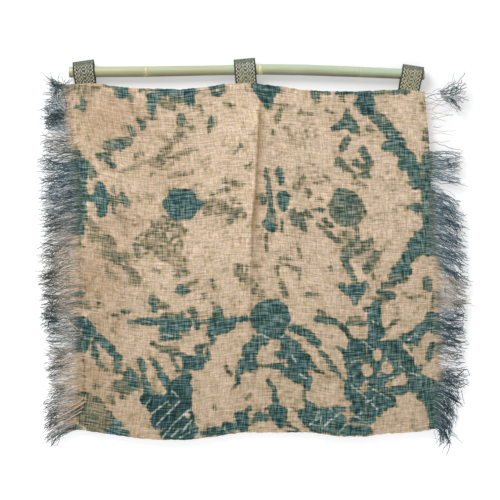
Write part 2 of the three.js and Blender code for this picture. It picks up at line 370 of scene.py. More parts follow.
def freeOfTabs(x, z):
    free = np.ones_like(x)
    for tab in ribbonSizes["tabs"].values():
        tailEnd = alongTable(outline["top"], tab["x"]) - ribbonSizes["tail"]
        aside = np.maximum(0, np.abs(x - tab["x"]) - ribbonSizes["width"] / 2 - ribbonSizes["hold"])
        below = np.maximum(0, tailEnd - ribbonSizes["hold"] - z)
        free *= smoothStep(np.hypot(aside, below), 0, ribbonSizes["release"])
    return free


def relief(x, z):
    rise = np.zeros_like(x)
    for middleX, middleZ, spreadX, spreadZ, height in crease["bulges"]:
        rise += height * bell(x - middleX, spreadX) * bell(z - middleZ, spreadZ)
    toRidge = alongTable(crease["ridge"], z, 1) - x
    full = alongTable(crease["ridge"], z, 2)
    rise += full * np.exp(-np.abs(toRidge) / crease["spread"])
    height, spreadLeft, spreadRight = crease["sharp"]
    spread = np.where(toRidge > 0, spreadLeft, spreadRight)
    rise += height * np.clip(full / crease["fullRise"], 0, 1) * np.exp(-np.abs(toRidge) / spread)
    for level, start, end, height, spread in crease["cross"]:
        inside = smoothStep(x, start, start + crease["crossEnd"])
        inside = inside * (1 - smoothStep(x, end - crease["crossEnd"], end))
        rise += height * inside * bell(z - level, spread)
    return rise * freeOfTabs(x, z)


def clothPlace(across, down):
    across, down = np.broadcast_arrays(np.asarray(across, float), np.asarray(down, float))
    level = outline["top"][0][1] + down * (outline["bottom"][0][1] - outline["top"][0][1])
    left, right = alongTable(outline["left"], level), alongTable(outline["right"], level)
    ridge = (alongTable(crease["ridge"], level, 1) - left) / (right - left)
    share = np.where(across < 0.5, across * 2 * ridge, ridge + (across - 0.5) * 2 * (1 - ridge))
    x = left + share * (right - left)
    top, bottom = alongTable(outline["top"], x), alongTable(outline["bottom"], x)
    return x, top + down * (bottom - top), share


# The resist dye. The marks are listed as strokes with round ends: from x, y to x, y, the
# widths at both ends and how dark. They are in steps of the chart, whose first column is left of the
# cloth and whose first row is above the rod.
chart = {"step": 1.86, "middle": 246.8, "rodRow": 70}
dyeEdge = {
    "grow": 0.5,  # a stroke dyes this much past its width
    "soft": 4.5,  # the way from dyed to plain
    "weaker": 1.4,  # how much softer a pale stroke is
    "wander": (2.2, 7, 7),  # how far the edge wanders, and over what width and height
    "alongWeft": (0.9, 3.5, 1.3),
    "alongWarp": (0.9, 1.3, 3.5),
    "halo": 11,  # how far a stain runs out of a stroke
    "haloTone": 0.36,
    "haloBlotches": [(0.6, 5, 31), (0.4, 2, 32)],  # share, cell, seed
    "haloRange": (0.35, 0.8),
    "faintTone": 0.22,
    "faintBlotches": [(0.5, 9, 41), (0.5, 2.5, 42)],
    "faintRange": (0.5, 0.85),
    "tiedReach": 3,
}

dyeMarks = {
    "topLeftEdge": [
        (106, 86, 114, 87, 2.5, 2.5, .8), (122, 89, 122, 95, 10, 9, .85), (116, 90, 117, 94, 4, 4, .5),
        (128, 97, 132, 100, 5, 4, .55), (139, 90, 144, 90, 1.5, 1.5, .9),
        (148, 90, 153, 90, 1.5, 1.5, .9), (156, 90, 196, 92, 5, 5, .88), (158, 95, 186, 96, 6, 5, .75),
        (170, 101, 186, 101, 3, 4, .6), (150, 97, 158, 99, 6, 7, .85), (153, 98, 151, 110, 9, 8, .82),
        (153, 113, 153, 118, 4, 3, .55), (146, 119, 157, 119, 1.5, 1.5, .5),
        (160, 102, 172, 107, 8, 8, .42), (189, 92, 190, 101, 11, 10, .95), (194, 91, 200, 92, 3, 2, .5),
        (213, 87, 222, 87, 5, 5, .85), (211, 86, 214, 93, 4, 4, .8), (214, 94, 220, 95, 4, 4, .8),
        (222, 85, 222, 92, 4, 4, .7),
    ],
    "topLeftCorner": [
        (82, 99, 83, 108, 5, 6, .72), (75, 107, 82, 108, 3, 4, .7), (64, 87, 70, 94, 7, 7, .36),
        (70, 87, 98, 89, 6, 5, .36), (72, 92, 92, 95, 5, 4, .26), (138, 120, 143, 120, 3, 3, .55),
        (142, 121, 143, 128, 5, 4, .7), (129, 126, 131, 128, 3, 3, .55), (131, 129, 134, 134, 6, 5, .65),
        (109, 146, 128, 142, 11, 10, .6), (114, 144, 123, 146, 8, 7, .78), (121, 147, 121, 150, 4, 3, .7),
        (107, 148, 110, 152, 4, 3, .5), (99, 157, 109, 155, 6, 5, .6), (103, 156, 108, 161, 4, 3, .7),
        (108, 161, 115, 167, 3.5, 3, .7), (98, 156, 100, 160, 4, 3, .7), (137, 157, 136, 155, 4, 3, .55),
        (138, 154, 143, 154, 2.5, 2, .5),
    ],
    "leftFaint": [
        (181, 118, 181, 122, 8, 8, .66), (185, 122, 194, 126, 2, 1.5, .5),
        (179, 125, 192, 128, 1.5, 1.5, .5), (180, 132, 180, 137, 8, 6, .4),
        (212, 120, 211, 125, 6, 5, .75), (209, 127, 209, 132, 1.5, 1, .45),
        (198, 107, 203, 111, 3, 3, .45), (160, 150, 166, 149, 2, 2, .45), (151, 158, 155, 165, 3, 3, .4),
        (160, 160, 163, 163, 3, 3, .42), (167, 158, 175, 157, 2, 2, .42), (152, 164, 170, 152, 4, 4, .38),
        (162, 151, 185, 138, 4, 3, .36), (158, 166, 186, 150, 3, 3, .36), (140, 166, 160, 156, 3, 3, .3),
        (172, 162, 196, 148, 3, 3, .3), (150, 174, 172, 166, 3, 3, .3), (170, 178, 194, 172, 3, 3, .3),
        (176, 140, 186, 138, 4, 4, .34), (160, 137, 174, 144, 5, 4, .28), (186, 150, 196, 150, 3, 3, .28),
        (224, 105, 233, 107, 4, 4, .34), (186, 108, 200, 108, 4, 4, .3), (120, 172, 138, 166, 4, 4, .24),
    ],
    "leftBand": [
        (72, 150, 80, 155, 6, 5, .8), (82, 163, 83, 175, 9, 10, .9), (88, 165, 93, 175, 7, 8, .68),
        (80, 176, 81, 189, 12, 12, .75), (81, 192, 81, 218, 12, 11, .8), (81, 218, 81, 233, 9, 5, .85),
        (82, 198, 104, 198, 4, 13, .85), (100, 188, 102, 212, 10, 10, .86),
        (112, 188, 115, 193, 4, 3, .5), (118, 197, 127, 203, 5, 6, .7), (111, 198, 116, 204, 4, 5, .6),
        (122, 194, 127, 199, 3, 3, .7), (113, 207, 113, 213, 3, 2, .6), (128, 201, 131, 202, 2, 2, .6),
    ],
    "leftCentre": [
        (176, 197, 188, 198, 17, 17, .9), (176, 211, 187, 211, 17, 17, .9),
        (169, 204, 176, 204, 13, 20, .9), (188, 204, 203, 203, 24, 3, .9),
        (152, 240, 180, 262, 18, 16, .27), (162, 224, 182, 232, 10, 10, .27),
        (162, 217, 170, 221, 3, 3, .5), (178, 223, 184, 231, 4, 4, .45), (152, 224, 158, 232, 3, 3, .5),
        (147, 233, 160, 234, 2, 2, .5), (150, 237, 153, 241, 3, 3, .5), (142, 241, 147, 250, 3, 3, .45),
        (150, 246, 155, 254, 3, 3, .5), (163, 233, 168, 240, 2, 2, .4), (170, 228, 175, 235, 3, 3, .45),
        (160, 248, 170, 250, 3, 3, .4), (181, 240, 181, 248, 3, 3, .45), (176, 221, 152, 248, 2, 2, .55),
        (168, 220, 140, 244, 2, 2, .5), (181, 231, 158, 256, 2, 2, .5),
        (160, 221, 136, 238, 1.5, 1.5, .45), (178, 244, 166, 258, 2, 2, .5),
        (148, 252, 136, 260, 2, 2, .45),
    ],
    "leftInner": [
        (234, 184, 236, 187, 5, 4, .45), (224, 180, 240, 186, 7, 8, .28), (227, 189, 228, 190, 4, 4, .5),
        (241, 146, 234, 154, 2.5, 2, .6), (252, 162, 247, 168, 2, 2, .55),
        (207, 203, 225, 206, 4, 5, .45), (204, 206, 238, 214, 12, 14, .26),
        (226, 209, 231, 212, 5, 4, .6), (238, 212, 229, 221, 7, 5, .6), (213, 207, 222, 211, 3, 3, .45),
        (204, 214, 210, 215, 2, 2, .5), (230, 200, 240, 203, 2, 2, .4),
        (206, 208, 222, 216, 1.5, 1.5, .5), (208, 201, 236, 199, 1.5, 1.5, .45),
        (216, 206, 244, 216, 1.5, 1.5, .48), (212, 196, 232, 184, 1.5, 1.5, .4),
    ],
    "leftMiddle": [
        (77, 238, 78, 244, 6, 5, .7), (79, 245, 84, 246, 2, 2, .6), (91, 223, 91, 231, 2.5, 2.5, .5),
        (84, 230, 100, 231, 1.5, 1.5, .45), (93, 236, 96, 240, 4, 4, .42), (90, 222, 98, 232, 8, 8, .3),
        (92, 237, 112, 243, 9, 10, .34), (104, 253, 126, 258, 9, 10, .36),
        (128, 267, 137, 280, 9, 9, .36), (106, 266, 116, 278, 6, 6, .28), (118, 214, 126, 222, 9, 8, .24),
        (128, 284, 146, 286, 5, 5, .24), (103, 239, 110, 237, 3, 3, .6), (100, 242, 108, 245, 4, 4, .5),
        (106, 251, 124, 255, 4, 4, .5), (113, 255, 127, 256, 2.5, 2.5, .65),
        (112, 259, 122, 259, 2, 2, .7), (126, 256, 128, 267, 4, 4, .52), (115, 263, 122, 264, 2, 2, .5),
        (106, 268, 112, 266, 2, 2, .4), (132, 269, 136, 278, 5, 6, .52),
        (130, 268, 130, 280, 1.2, 1.2, .5), (136, 246, 138, 253, 6, 6, .55),
        (160, 258, 170, 263, 3, 3, .42), (154, 270, 160, 271, 3, 3, .42),
        (174, 270, 185, 271, 1.5, 2, .55), (177, 276, 186, 275, 5, 6, .42),
        (178, 270, 185, 274, 10, 10, .3), (180, 290, 186, 291, 8, 7, .75), (184, 287, 197, 281, 3, 3, .5),
        (211, 280, 215, 287, 3, 4, .5), (241, 267, 237, 273, 5, 6, .52), (236, 265, 262, 266, 2, 2, .46),
        (240, 272, 250, 282, 8, 8, .32), (254, 290, 262, 297, 5, 5, .38), (247, 269, 246, 277, 2, 2, .45),
        (240, 277, 241, 279, 3, 3, .45), (246, 284, 247, 285, 3, 3, .45), (256, 284, 257, 287, 3, 3, .48),
        (258, 293, 263, 292, 3, 3, .42), (78, 290, 82, 295, 5, 5, .6), (80, 303, 88, 303, 3, 3, .55),
        (80, 307, 91, 307, 2, 2, .55), (98, 299, 99, 302, 3, 3, .42), (108, 271, 109, 276, 3, 3, .4),
        (113, 330, 116, 333, 3, 3, .3), (152, 299, 155, 309, 6, 6, .75), (158, 300, 168, 306, 3, 4, .5),
        (160, 306, 168, 308, 3, 3, .45), (123, 311, 127, 312, 5, 5, .7), (113, 316, 117, 315, 3, 3, .6),
        (204, 296, 205, 299, 2.5, 2.5, .5), (196, 300, 205, 300, 1.5, 1.5, .5),
        (211, 302, 213, 303, 3, 3, .45),
    ],
    "topMiddle": [
        (256, 86, 278, 90, 6, 6, .9), (266, 87, 268, 104, 28, 8, .95), (280, 111, 277, 120, 5, 6, .42),
        (266, 105, 290, 107, 4, 4, .32), (286, 128, 296, 146, 6, 6, .24), (273, 131, 273, 134, 3, 3, .5),
        (312, 92, 330, 94, 3, 2, .8), (315, 93, 316, 101, 8, 5, .7), (338, 93, 376, 94, 4, 4, .9),
        (342, 96, 344, 102, 4, 3, .5), (376, 93, 394, 92, 3, 2, .55), (400, 92, 407, 91, 5, 5, .7),
        (394, 93, 398, 93, 4, 4, .8),
    ],
    "rightShoulder": [
        (365, 97, 366, 109, 14, 14, .95), (354, 105, 362, 103, 3, 10, .9), (372, 100, 372, 108, 5, 5, .9),
        (374, 116, 384, 124, 11, 13, .68), (366, 113, 372, 118, 5, 5, .5),
        (384, 127, 395, 137, 11, 13, .78), (368, 128, 372, 131, 4, 4, .5),
        (388, 145, 400, 144, 8, 10, .8), (385, 148, 400, 150, 6, 6, .75),
        (400, 150, 409, 160, 12, 14, .85), (403, 165, 414, 168, 10, 14, .85),
        (413, 170, 417, 184, 12, 10, .85), (408, 184, 413, 184, 2, 4, .7),
        (426, 157, 427, 200, 9, 10, .8), (427, 200, 428, 250, 10, 12, .8), (409, 208, 416, 208, 3, 9, .8),
    ],
    "rightInner": [
        (346, 112, 347, 121, 4, 9, .75), (334, 129, 346, 124, 5, 11, .75),
        (348, 121, 355, 130, 10, 8, .75), (355, 130, 359, 134, 4, 3, .55),
        (347, 138, 343, 149, 5, 7, .65), (362, 150, 369, 163, 7, 8, .7), (338, 160, 345, 168, 6, 7, .6),
        (347, 168, 355, 177, 3, 3, .6), (336, 164, 342, 166, 4, 4, .6), (355, 163, 366, 170, 6, 6, .6),
        (359, 175, 369, 176, 4, 4, .6), (351, 184, 366, 187, 1.5, 1.5, .45),
        (360, 182, 367, 187, 1.5, 1.5, .45), (303, 178, 297, 188, 6, 7, .46),
        (300, 113, 310, 114, 5, 4, .4), (327, 110, 331, 113, 2.5, 3, .6), (325, 176, 329, 182, 3, 2, .42),
        (316, 183, 322, 182, 2, 2, .4),
    ],
    "rightCentre": [
        (346, 208, 347, 210, 34, 34, .6), (342, 197, 348, 199, 16, 16, .7),
        (346, 216, 350, 217, 18, 14, .74), (330, 206, 336, 212, 5, 8, .6), (356, 198, 357, 202, 5, 5, .7),
        (360, 206, 364, 214, 6, 6, .6), (355, 226, 356, 231, 5, 5, .5), (346, 242, 372, 262, 22, 18, .25),
        (345, 235, 350, 241, 6, 6, .5), (357, 238, 354, 243, 4, 5, .7), (352, 244, 345, 257, 8, 10, .65),
        (363, 243, 371, 241, 4, 4, .65), (359, 251, 370, 248, 7, 5, .62), (375, 253, 368, 269, 6, 9, .65),
        (383, 250, 378, 256, 2, 2, .42), (346, 265, 350, 268, 6, 6, .65), (350, 268, 353, 278, 6, 5, .7),
        (341, 286, 352, 293, 6, 10, .85), (365, 285, 357, 294, 6, 10, .85),
        (355, 290, 354, 304, 16, 4, .8), (307, 295, 317, 295, 4, 3, .5),
    ],
    "besideCrease": [
        (308, 192, 308, 196, 6, 5, .5), (318, 199, 322, 200, 3, 3, .45), (266, 171, 269, 181, 4, 4, .6),
        (279, 171, 281, 182, 6, 5, .8), (269, 184, 271, 210, 4, 4, .7), (271, 210, 271, 219, 5, 9, .7),
        (266, 224, 272, 228, 7, 9, .82), (262, 197, 264, 201, 6, 6, .75), (258, 198, 270, 200, 2, 2, .6),
        (283, 198, 284, 206, 13, 9, .85), (266, 235, 266, 250, 2.5, 3, .5),
        (258, 227, 259, 227, 3, 3, .5), (282, 222, 281, 231, 3, 2.5, .65),
        (293, 213, 296, 223, 7, 7, .62), (300, 216, 304, 229, 7, 6, .62), (307, 213, 309, 217, 6, 5, .6),
        (314, 210, 323, 209, 3, 3, .7), (324, 219, 332, 226, 3, 4, .65), (318, 225, 340, 243, 5, 4, .6),
        (299, 249, 301, 257, 3, 3, .5), (292, 267, 299, 269, 4, 3, .55), (299, 270, 300, 277, 3, 2, .5),
        (281, 259, 290, 259, 1.5, 1.5, .55), (280, 264, 298, 268, 1.5, 2, .55),
        (330, 268, 331, 270, 3, 3, .6), (373, 275, 374, 278, 3, 3, .5), (277, 267, 278, 275, 4, 4, .48),
        (282, 283, 286, 296, 5, 5, .52),
    ],
    "rightDiagonal": [
        (428, 235, 418, 234, 14, 8, .8), (430, 246, 414, 244, 16, 13, .85),
        (420, 250, 407, 256, 10, 10, .8), (412, 255, 402, 266, 10, 12, .85),
        (395, 269, 408, 271, 8, 8, .85), (392, 276, 404, 279, 8, 8, .7), (383, 285, 392, 284, 6, 6, .6),
        (380, 292, 392, 296, 7, 8, .7), (374, 298, 386, 300, 4, 5, .55), (376, 305, 374, 319, 10, 14, .8),
        (366, 308, 372, 312, 5, 5, .7), (427, 281, 428, 288, 8, 8, .65), (413, 295, 425, 298, 2, 2, .4),
        (402, 293, 415, 300, 2, 2, .4), (433, 292, 432, 306, 3, 3, .5),
    ],
    "lowLeftBand": [
        (129, 322, 140, 322, 3, 4, .8), (138, 321, 157, 322, 6, 7, .8), (162, 322, 186, 323, 8, 10, .85),
        (163, 316, 178, 316, 5, 6, .55), (182, 314, 182, 318, 6, 6, .75), (163, 330, 186, 328, 9, 8, .85),
        (164, 337, 178, 337, 7, 6, .8), (188, 324, 210, 321, 2, 3, .8), (197, 322, 197, 326, 6, 5, .75),
        (192, 310, 194, 317, 6, 6, .6), (218, 310, 219, 317, 9, 10, .75), (210, 321, 240, 320, 6, 5, .9),
        (213, 329, 232, 325, 10, 7, .9), (214, 333, 226, 331, 7, 5, .85), (238, 319, 256, 318, 3, 3, .9),
        (154, 344, 155, 345, 6, 5, .55), (158, 347, 176, 349, 5, 5, .45), (160, 352, 172, 352, 2, 2, .75),
        (171, 353, 177, 368, 4, 3, .75), (177, 368, 179, 372, 3, 3, .7), (178, 354, 184, 355, 5, 4, .8),
        (209, 334, 210, 336, 4, 4, .75), (213, 337, 213, 343, 5, 4, .75), (197, 346, 210, 345, 3, 3, .7),
        (198, 349, 200, 356, 6, 6, .75), (208, 350, 208, 358, 4, 5, .8), (203, 361, 206, 360, 3, 4, .8),
        (187, 361, 198, 362, 9, 9, .9), (186, 367, 201, 367, 5, 5, .9),
    ],
    "roundBlot": [
        (270, 318, 271, 318, 37, 37, .86), (266, 333, 280, 334, 10, 10, .9),
        (264, 338, 267, 343, 8, 5, .8), (261, 338, 251, 349, 11, 12, .85),
        (250, 351, 249, 363, 14, 17, .85), (247, 366, 238, 372, 8, 4, .85),
        (242, 362, 256, 366, 6, 6, .9), (238, 377, 238, 382, 4, 4, .85),
        (237, 384, 232, 389, 2.5, 1.5, .75), (225, 368, 230, 374, 2, 3, .6),
        (227, 365, 226, 369, 2, 2, .6), (268, 366, 284, 366, 4, 8, .85), (278, 352, 286, 357, 7, 9, .8),
        (268, 367, 262, 366, 2, 2, .7), (284, 340, 293, 350, 12, 16, .88),
        (290, 355, 300, 362, 16, 22, .9), (284, 369, 300, 376, 10, 14, .88),
        (296, 378, 303, 374, 8, 8, .8),
    ],
    "lowLeftRays": [
        (73, 319, 80, 320, 3, 4, .8), (82, 321, 90, 330, 10, 12, .92), (87, 334, 84, 348, 9, 8, .85),
        (84, 348, 84, 351, 4, 2, .8), (98, 338, 104, 343, 8, 8, .85), (104, 343, 112, 349, 8, 7, .8),
        (110, 351, 118, 358, 7, 7, .8), (115, 363, 118, 366, 5, 5, .8), (115, 370, 121, 371, 6, 4, .55),
        (93, 343, 96, 357, 4, 6, .8), (99, 362, 102, 366, 4, 4, .65), (107, 370, 108, 370, 3, 3, .5),
        (141, 361, 144, 370, 6, 5, .8), (150, 359, 153, 361, 3, 3, .5), (154, 362, 160, 370, 4, 4, .75),
        (130, 369, 132, 374, 4, 8, .75), (131, 376, 134, 386, 12, 9, .8), (116, 386, 128, 390, 10, 9, .5),
        (113, 389, 118, 388, 4, 4, .5), (122, 396, 126, 398, 4, 3, .5), (120, 386, 134, 381, 10, 14, .58),
        (144, 377, 146, 384, 4, 8, .8), (147, 387, 150, 393, 11, 10, .8), (162, 376, 167, 382, 8, 7, .85),
    ],
    "lowLeftMass": [
        (144, 398, 156, 410, 8, 12, 1.05), (172, 386, 184, 380, 8, 12, .9),
        (186, 372, 187, 378, 8, 10, .8), (172, 392, 186, 390, 14, 14, .98),
        (158, 402, 182, 402, 16, 20, 1.05), (160, 420, 184, 418, 18, 20, 1.05),
        (166, 434, 190, 434, 10, 10, 1.05), (186, 396, 187, 398, 8, 10, .85),
        (187, 406, 187, 416, 7, 7, .85), (188, 426, 194, 430, 10, 10, .9),
    ],
    "lowLeftCorner": [
        (94, 404, 100, 422, 18, 26, .4), (84, 414, 92, 424, 18, 14, .5), (84, 350, 84, 392, 1, 1, .42),
        (82, 394, 90, 395, 4, 4, .6), (81, 399, 84, 400, 2, 2, .5), (95, 387, 99, 387, 3, 3, .5),
        (97, 402, 102, 402, 5, 4, .55), (110, 397, 113, 403, 6, 5, .45), (88, 406, 92, 420, 9, 11, .62),
        (80, 419, 90, 424, 6, 6, .5), (68, 426, 80, 428, 4, 4, .85), (94, 408, 100, 416, 4, 5, .45),
        (110, 412, 114, 420, 4, 4, .7), (113, 423, 119, 425, 7, 7, .85), (108, 430, 126, 433, 7, 5, .9),
        (97, 426, 99, 427, 3, 3, .5),
    ],
    "lowMiddleHem": [
        (203, 433, 208, 434, 5, 4, .8), (210, 431, 222, 431, 7, 7, .9), (227, 427, 232, 427, 9, 9, .9),
        (241, 418, 243, 425, 14, 13, .92), (246, 411, 250, 408, 4, 4, .75),
        (258, 417, 265, 417, 8, 7, .8), (252, 421, 256, 420, 4, 4, .6), (268, 379, 274, 389, 3, 4, .8),
        (274, 389, 276, 404, 4, 5, .8), (265, 409, 271, 406, 2, 2, .7), (275, 410, 280, 418, 13, 13, .92),
        (283, 411, 281, 426, 8, 5, .9), (290, 405, 296, 411, 1.5, 1.5, .5),
        (287, 424, 298, 430, 1.5, 2.5, .7), (288, 432, 299, 432, 2, 2, .9),
        (247, 398, 251, 394, 2, 2.5, .6), (214, 407, 215, 409, 3, 3, .45),
    ],
    "lowRightBand": [
        (292, 328, 305, 333, 7, 9, .85), (304, 332, 309, 336, 5, 5, .8), (309, 335, 318, 344, 8, 7, .85),
        (306, 361, 314, 366, 5, 4, .8), (313, 368, 322, 373, 3, 2, .75), (321, 352, 326, 357, 4, 4, .8),
        (326, 358, 331, 366, 4, 5, .75), (331, 366, 336, 371, 4, 4, .8), (337, 373, 347, 381, 3, 3, .75),
        (319, 312, 322, 315, 5, 6, .6), (318, 319, 334, 321, 7, 6, .85), (334, 321, 344, 328, 5, 5, .75),
        (344, 328, 350, 337, 4, 4, .8), (349, 323, 368, 322, 4, 4, .7), (350, 317, 360, 318, 3, 3, .45),
        (374, 310, 375, 336, 13, 13, .9), (383, 329, 382, 335, 5, 6, .9), (388, 328, 398, 320, 3, 3, .6),
        (352, 343, 362, 343, 6, 8, .9), (346, 353, 366, 352, 7, 9, .95), (345, 358, 350, 360, 5, 5, .9),
        (337, 348, 345, 352, 3, 4, .75), (366, 344, 376, 338, 5, 8, .9), (376, 345, 398, 344, 7, 8, .9),
        (386, 353, 398, 356, 9, 10, .85), (404, 357, 409, 360, 9, 8, .85),
    ],
    "lowRightMass": [
        (354, 351, 398, 351, 15, 13, .92), (358, 370, 350, 394, 18, 12, .88),
        (371, 398, 388, 401, 16, 14, .9), (360, 411, 378, 412, 13, 8, .88),
        (400, 352, 411, 366, 9, 12, .86), (420, 380, 434, 388, 12, 14, .86),
        (395, 389, 432, 386, 8, 9, .86), (352, 364, 354, 380, 12, 10, .85),
        (348, 366, 356, 372, 6, 8, .85), (358, 379, 360, 382, 4, 4, .8), (397, 367, 418, 368, 9, 8, .85),
        (408, 374, 418, 376, 6, 6, .8), (393, 372, 398, 373, 5, 4, .8), (370, 362, 390, 366, 16, 18, .86),
        (370, 374, 390, 374, 12, 12, .86), (372, 384, 382, 385, 10, 10, .85),
        (385, 378, 391, 379, 4, 4, .75), (410, 382, 434, 383, 6, 7, .85),
        (410, 388, 434, 392, 5, 12, .85), (421, 396, 434, 400, 10, 14, .85),
        (431, 404, 435, 428, 12, 9, .9), (388, 390, 401, 392, 4, 5, .85), (352, 386, 360, 396, 8, 8, .8),
        (369, 393, 384, 398, 9, 12, .9), (372, 403, 384, 407, 8, 6, .9), (356, 400, 376, 409, 8, 8, .9),
        (354, 408, 372, 414, 8, 5, .9), (354, 420, 372, 420, 8, 6, .8), (346, 430, 368, 430, 10, 8, .9),
    ],
    "lowRightHem": [
        (309, 414, 338, 422, 15, 17, .88), (308, 404, 316, 410, 6, 8, .85),
        (303, 414, 311, 422, 10, 12, .9), (320, 410, 343, 409, 8, 6, .8),
        (318, 420, 340, 420, 12, 12, .85), (312, 428, 330, 429, 6, 8, .85),
        (330, 431, 345, 432, 6, 6, .85), (307, 381, 307, 387, 10, 7, .85), (303, 390, 306, 401, 2, 3, .7),
    ],
    "rightEdge": [
        (430, 318, 434, 328, 11, 11, .8), (427, 324, 414, 335, 11, 10, .82),
        (404, 338, 416, 341, 8, 8, .85), (409, 347, 412, 348, 4, 4, .8), (432, 346, 428, 359, 6, 6, .8),
        (430, 116, 434, 118, 3, 3, .6), (427, 131, 431, 136, 5, 5, .58), (424, 139, 430, 143, 5, 4, .6),
        (428, 124, 433, 126, 2, 2, .45), (421, 104, 424, 108, 4, 4, .4), (426, 148, 432, 150, 4, 4, .6),
        (422, 429, 427, 429, 3, 3, .7),
    ],
}

# Undyed islands inside the dark parts, in the same form, and the pale lines where thread was tied.
islands = [
    (142, 389, 142, 392, 4, 4, 1), (161, 388, 163, 392, 7, 7, 1), (377, 353, 377, 356, 9, 9, 1),
    (366, 368, 367, 371, 11, 11, 1), (387, 367, 387, 369, 11, 11, 1), (377, 374, 378, 374, 3, 3, 1),
    (364, 384, 365, 391, 4, 4, 1), (394, 383, 403, 382, 6, 6.5, 1), (387, 385, 388, 386, 4, 3, 1),
    (404, 347, 406, 349, 4, 3, 1), (348, 407, 349, 417, 5, 4, 1), (416, 351, 417, 362, 8, 8, 1),
    (431, 366, 434, 374, 9, 8, 1), (187, 415, 188, 417, 4, 4, 1), (170, 404, 171, 405, 2, 2, 1),
    (266, 355, 267, 358, 16, 15, 1), (276, 343, 276, 348, 8, 7, 1), (284, 361, 287, 366, 4, 3, 1),
    (408, 392, 403, 430, 4, 56, 1),
]
tiedLines = [
    [(150, 415), (160, 407), (168, 401)], [(157, 424), (166, 415), (180, 401)],
    [(163, 437), (174, 423), (190, 409)], [(182, 432), (188, 424), (192, 420)], [(172, 390), (178, 396)],
    [(150, 400), (146, 405)], [(190, 432), (180, 437)], [(172, 436), (178, 430)],
    [(350, 384), (362, 394), (378, 410)], [(368, 386), (390, 399)], [(363, 341), (373, 350)],
    [(353, 414), (373, 427)], [(349, 420), (338, 433)], [(320, 412), (322, 428)],
    [(329, 421), (322, 428)], [(341, 412), (329, 421)], [(309, 425), (318, 418)],
    [(336, 415), (330, 408)], [(318, 412), (315, 420)], [(355, 416), (362, 412)],
    [(361, 238), (352, 250)], [(378, 246), (366, 256)], [(290, 329), (281, 338)],
    [(254, 352), (260, 352)], [(255, 336), (262, 334), (268, 338)], [(212, 333), (216, 337)],
    [(203, 357), (207, 361)], [(384, 380), (395, 376)], [(400, 366), (408, 372), (420, 376)],
    [(408, 340), (414, 334), (420, 337)], [(385, 357), (392, 364)], [(352, 362), (362, 360)],
    [(350, 376), (358, 374)], [(366, 402), (374, 398)], [(236, 424), (234, 416)],
    [(224, 428), (228, 433)], [(300, 374), (306, 378)], [(292, 356), (296, 362)],
    [(196, 326), (192, 320)], [(163, 334), (172, 336)], [(370, 320), (378, 324)],
]


def strokeReach(x, y, stroke):
    startX, startY, endX, endY, startWidth, endWidth = stroke[:6]
    spanX, spanY = endX - startX, endY - startY
    share = ((x - startX) * spanX + (y - startY) * spanY) / (spanX ** 2 + spanY ** 2 + 1e-6)
    share = np.clip(share, 0, 1)
    away = np.hypot(x - startX - share * spanX, y - startY - share * spanY)
    return away - (startWidth + (endWidth - startWidth) * share) / 2


def near(x, y, stroke, margin):
    reach = margin + max(stroke[4:6]) / 2
    lowX, highX = sorted((stroke[0], stroke[2]))
    lowY, highY = sorted((stroke[1], stroke[3]))
    return (x > lowX - reach) & (x < highX + reach) & (y > lowY - reach) & (y < highY + reach)


def toChart(clothX, clothZ):
    return clothX / chart["step"] + chart["middle"], chart["rodRow"] - clothZ / chart["step"]


def fromChart(columns, rows):
    x = (np.asarray(columns, float) - chart["middle"]) * chart["step"]
    return x, (chart["rodRow"] - np.asarray(rows, float)) * chart["step"]


def drift(x, y, wander, seed):
    reach, width, height = wander
    return reach * (softNoise(x, y, width, height, seed) - 0.5)


def blotches(x, y, layers):
    return sum(share * softNoise(x, y, cell, cell, seed) for share, cell, seed in layers)


# How well the dye covers a place (0.5 on a mark's edge), how dark it is there, the faint stain around
# it, and how far off the nearest tied line is.
def layDye(clothX, clothZ):
    x, y = toChart(clothX, clothZ)
    warpX = x + drift(x, y, dyeEdge["wander"], 11) + drift(x, y, dyeEdge["alongWeft"], 12)
    warpY = y + drift(x, y, dyeEdge["wander"], 21) + drift(x, y, dyeEdge["alongWarp"], 22)
    cover, halo, weight, tone = (np.zeros_like(x) for _ in range(4))
    for stroke in [stroke for marks in dyeMarks.values() for stroke in marks]:
        dark = stroke[6]
        here = near(warpX, warpY, stroke, dyeEdge["halo"])
        away = strokeReach(warpX[here], warpY[here], stroke) - dyeEdge["grow"]
        soft = dyeEdge["soft"] * (1 + dyeEdge["weaker"] * (1 - dark))
        share = np.clip(0.5 - away / soft, 0, 1)
        cover[here] = np.maximum(cover[here], share)
        pull = share ** 4 * dark ** 2  # where strokes overlap, the darker and nearer one gives the tone
        weight[here] += pull
        tone[here] += pull * dark
        halo[here] = np.maximum(halo[here], dark * np.clip(1 - away / dyeEdge["halo"], 0, 1) ** 1.5)
    tone = tone / np.maximum(weight, 1e-6)
    for stroke in islands:
        here = near(warpX, warpY, stroke, dyeEdge["halo"])
        away = strokeReach(warpX[here], warpY[here], stroke)
        cover[here] = np.minimum(cover[here], np.clip(0.5 + away / dyeEdge["soft"], 0, 1))
    patchy = smoothStep(blotches(x, y, dyeEdge["haloBlotches"]), *dyeEdge["haloRange"])
    faint = smoothStep(blotches(x, y, dyeEdge["faintBlotches"]), *dyeEdge["faintRange"])
    stain = np.maximum(dyeEdge["haloTone"] * halo * patchy, dyeEdge["faintTone"] * faint)
    return cover, tone, stain, layTied(x, y)


def layTied(x, y):
    tied = np.full_like(x, dyeEdge["tiedReach"])
    for line in tiedLines:
        for start, end in zip(line, line[1:]):
            stroke = (*start, *end, 0, 0)
            here = near(x, y, stroke, dyeEdge["tiedReach"])
            tied[here] = np.minimum(tied[here], strokeReach(x[here], y[here], stroke))
    return tied
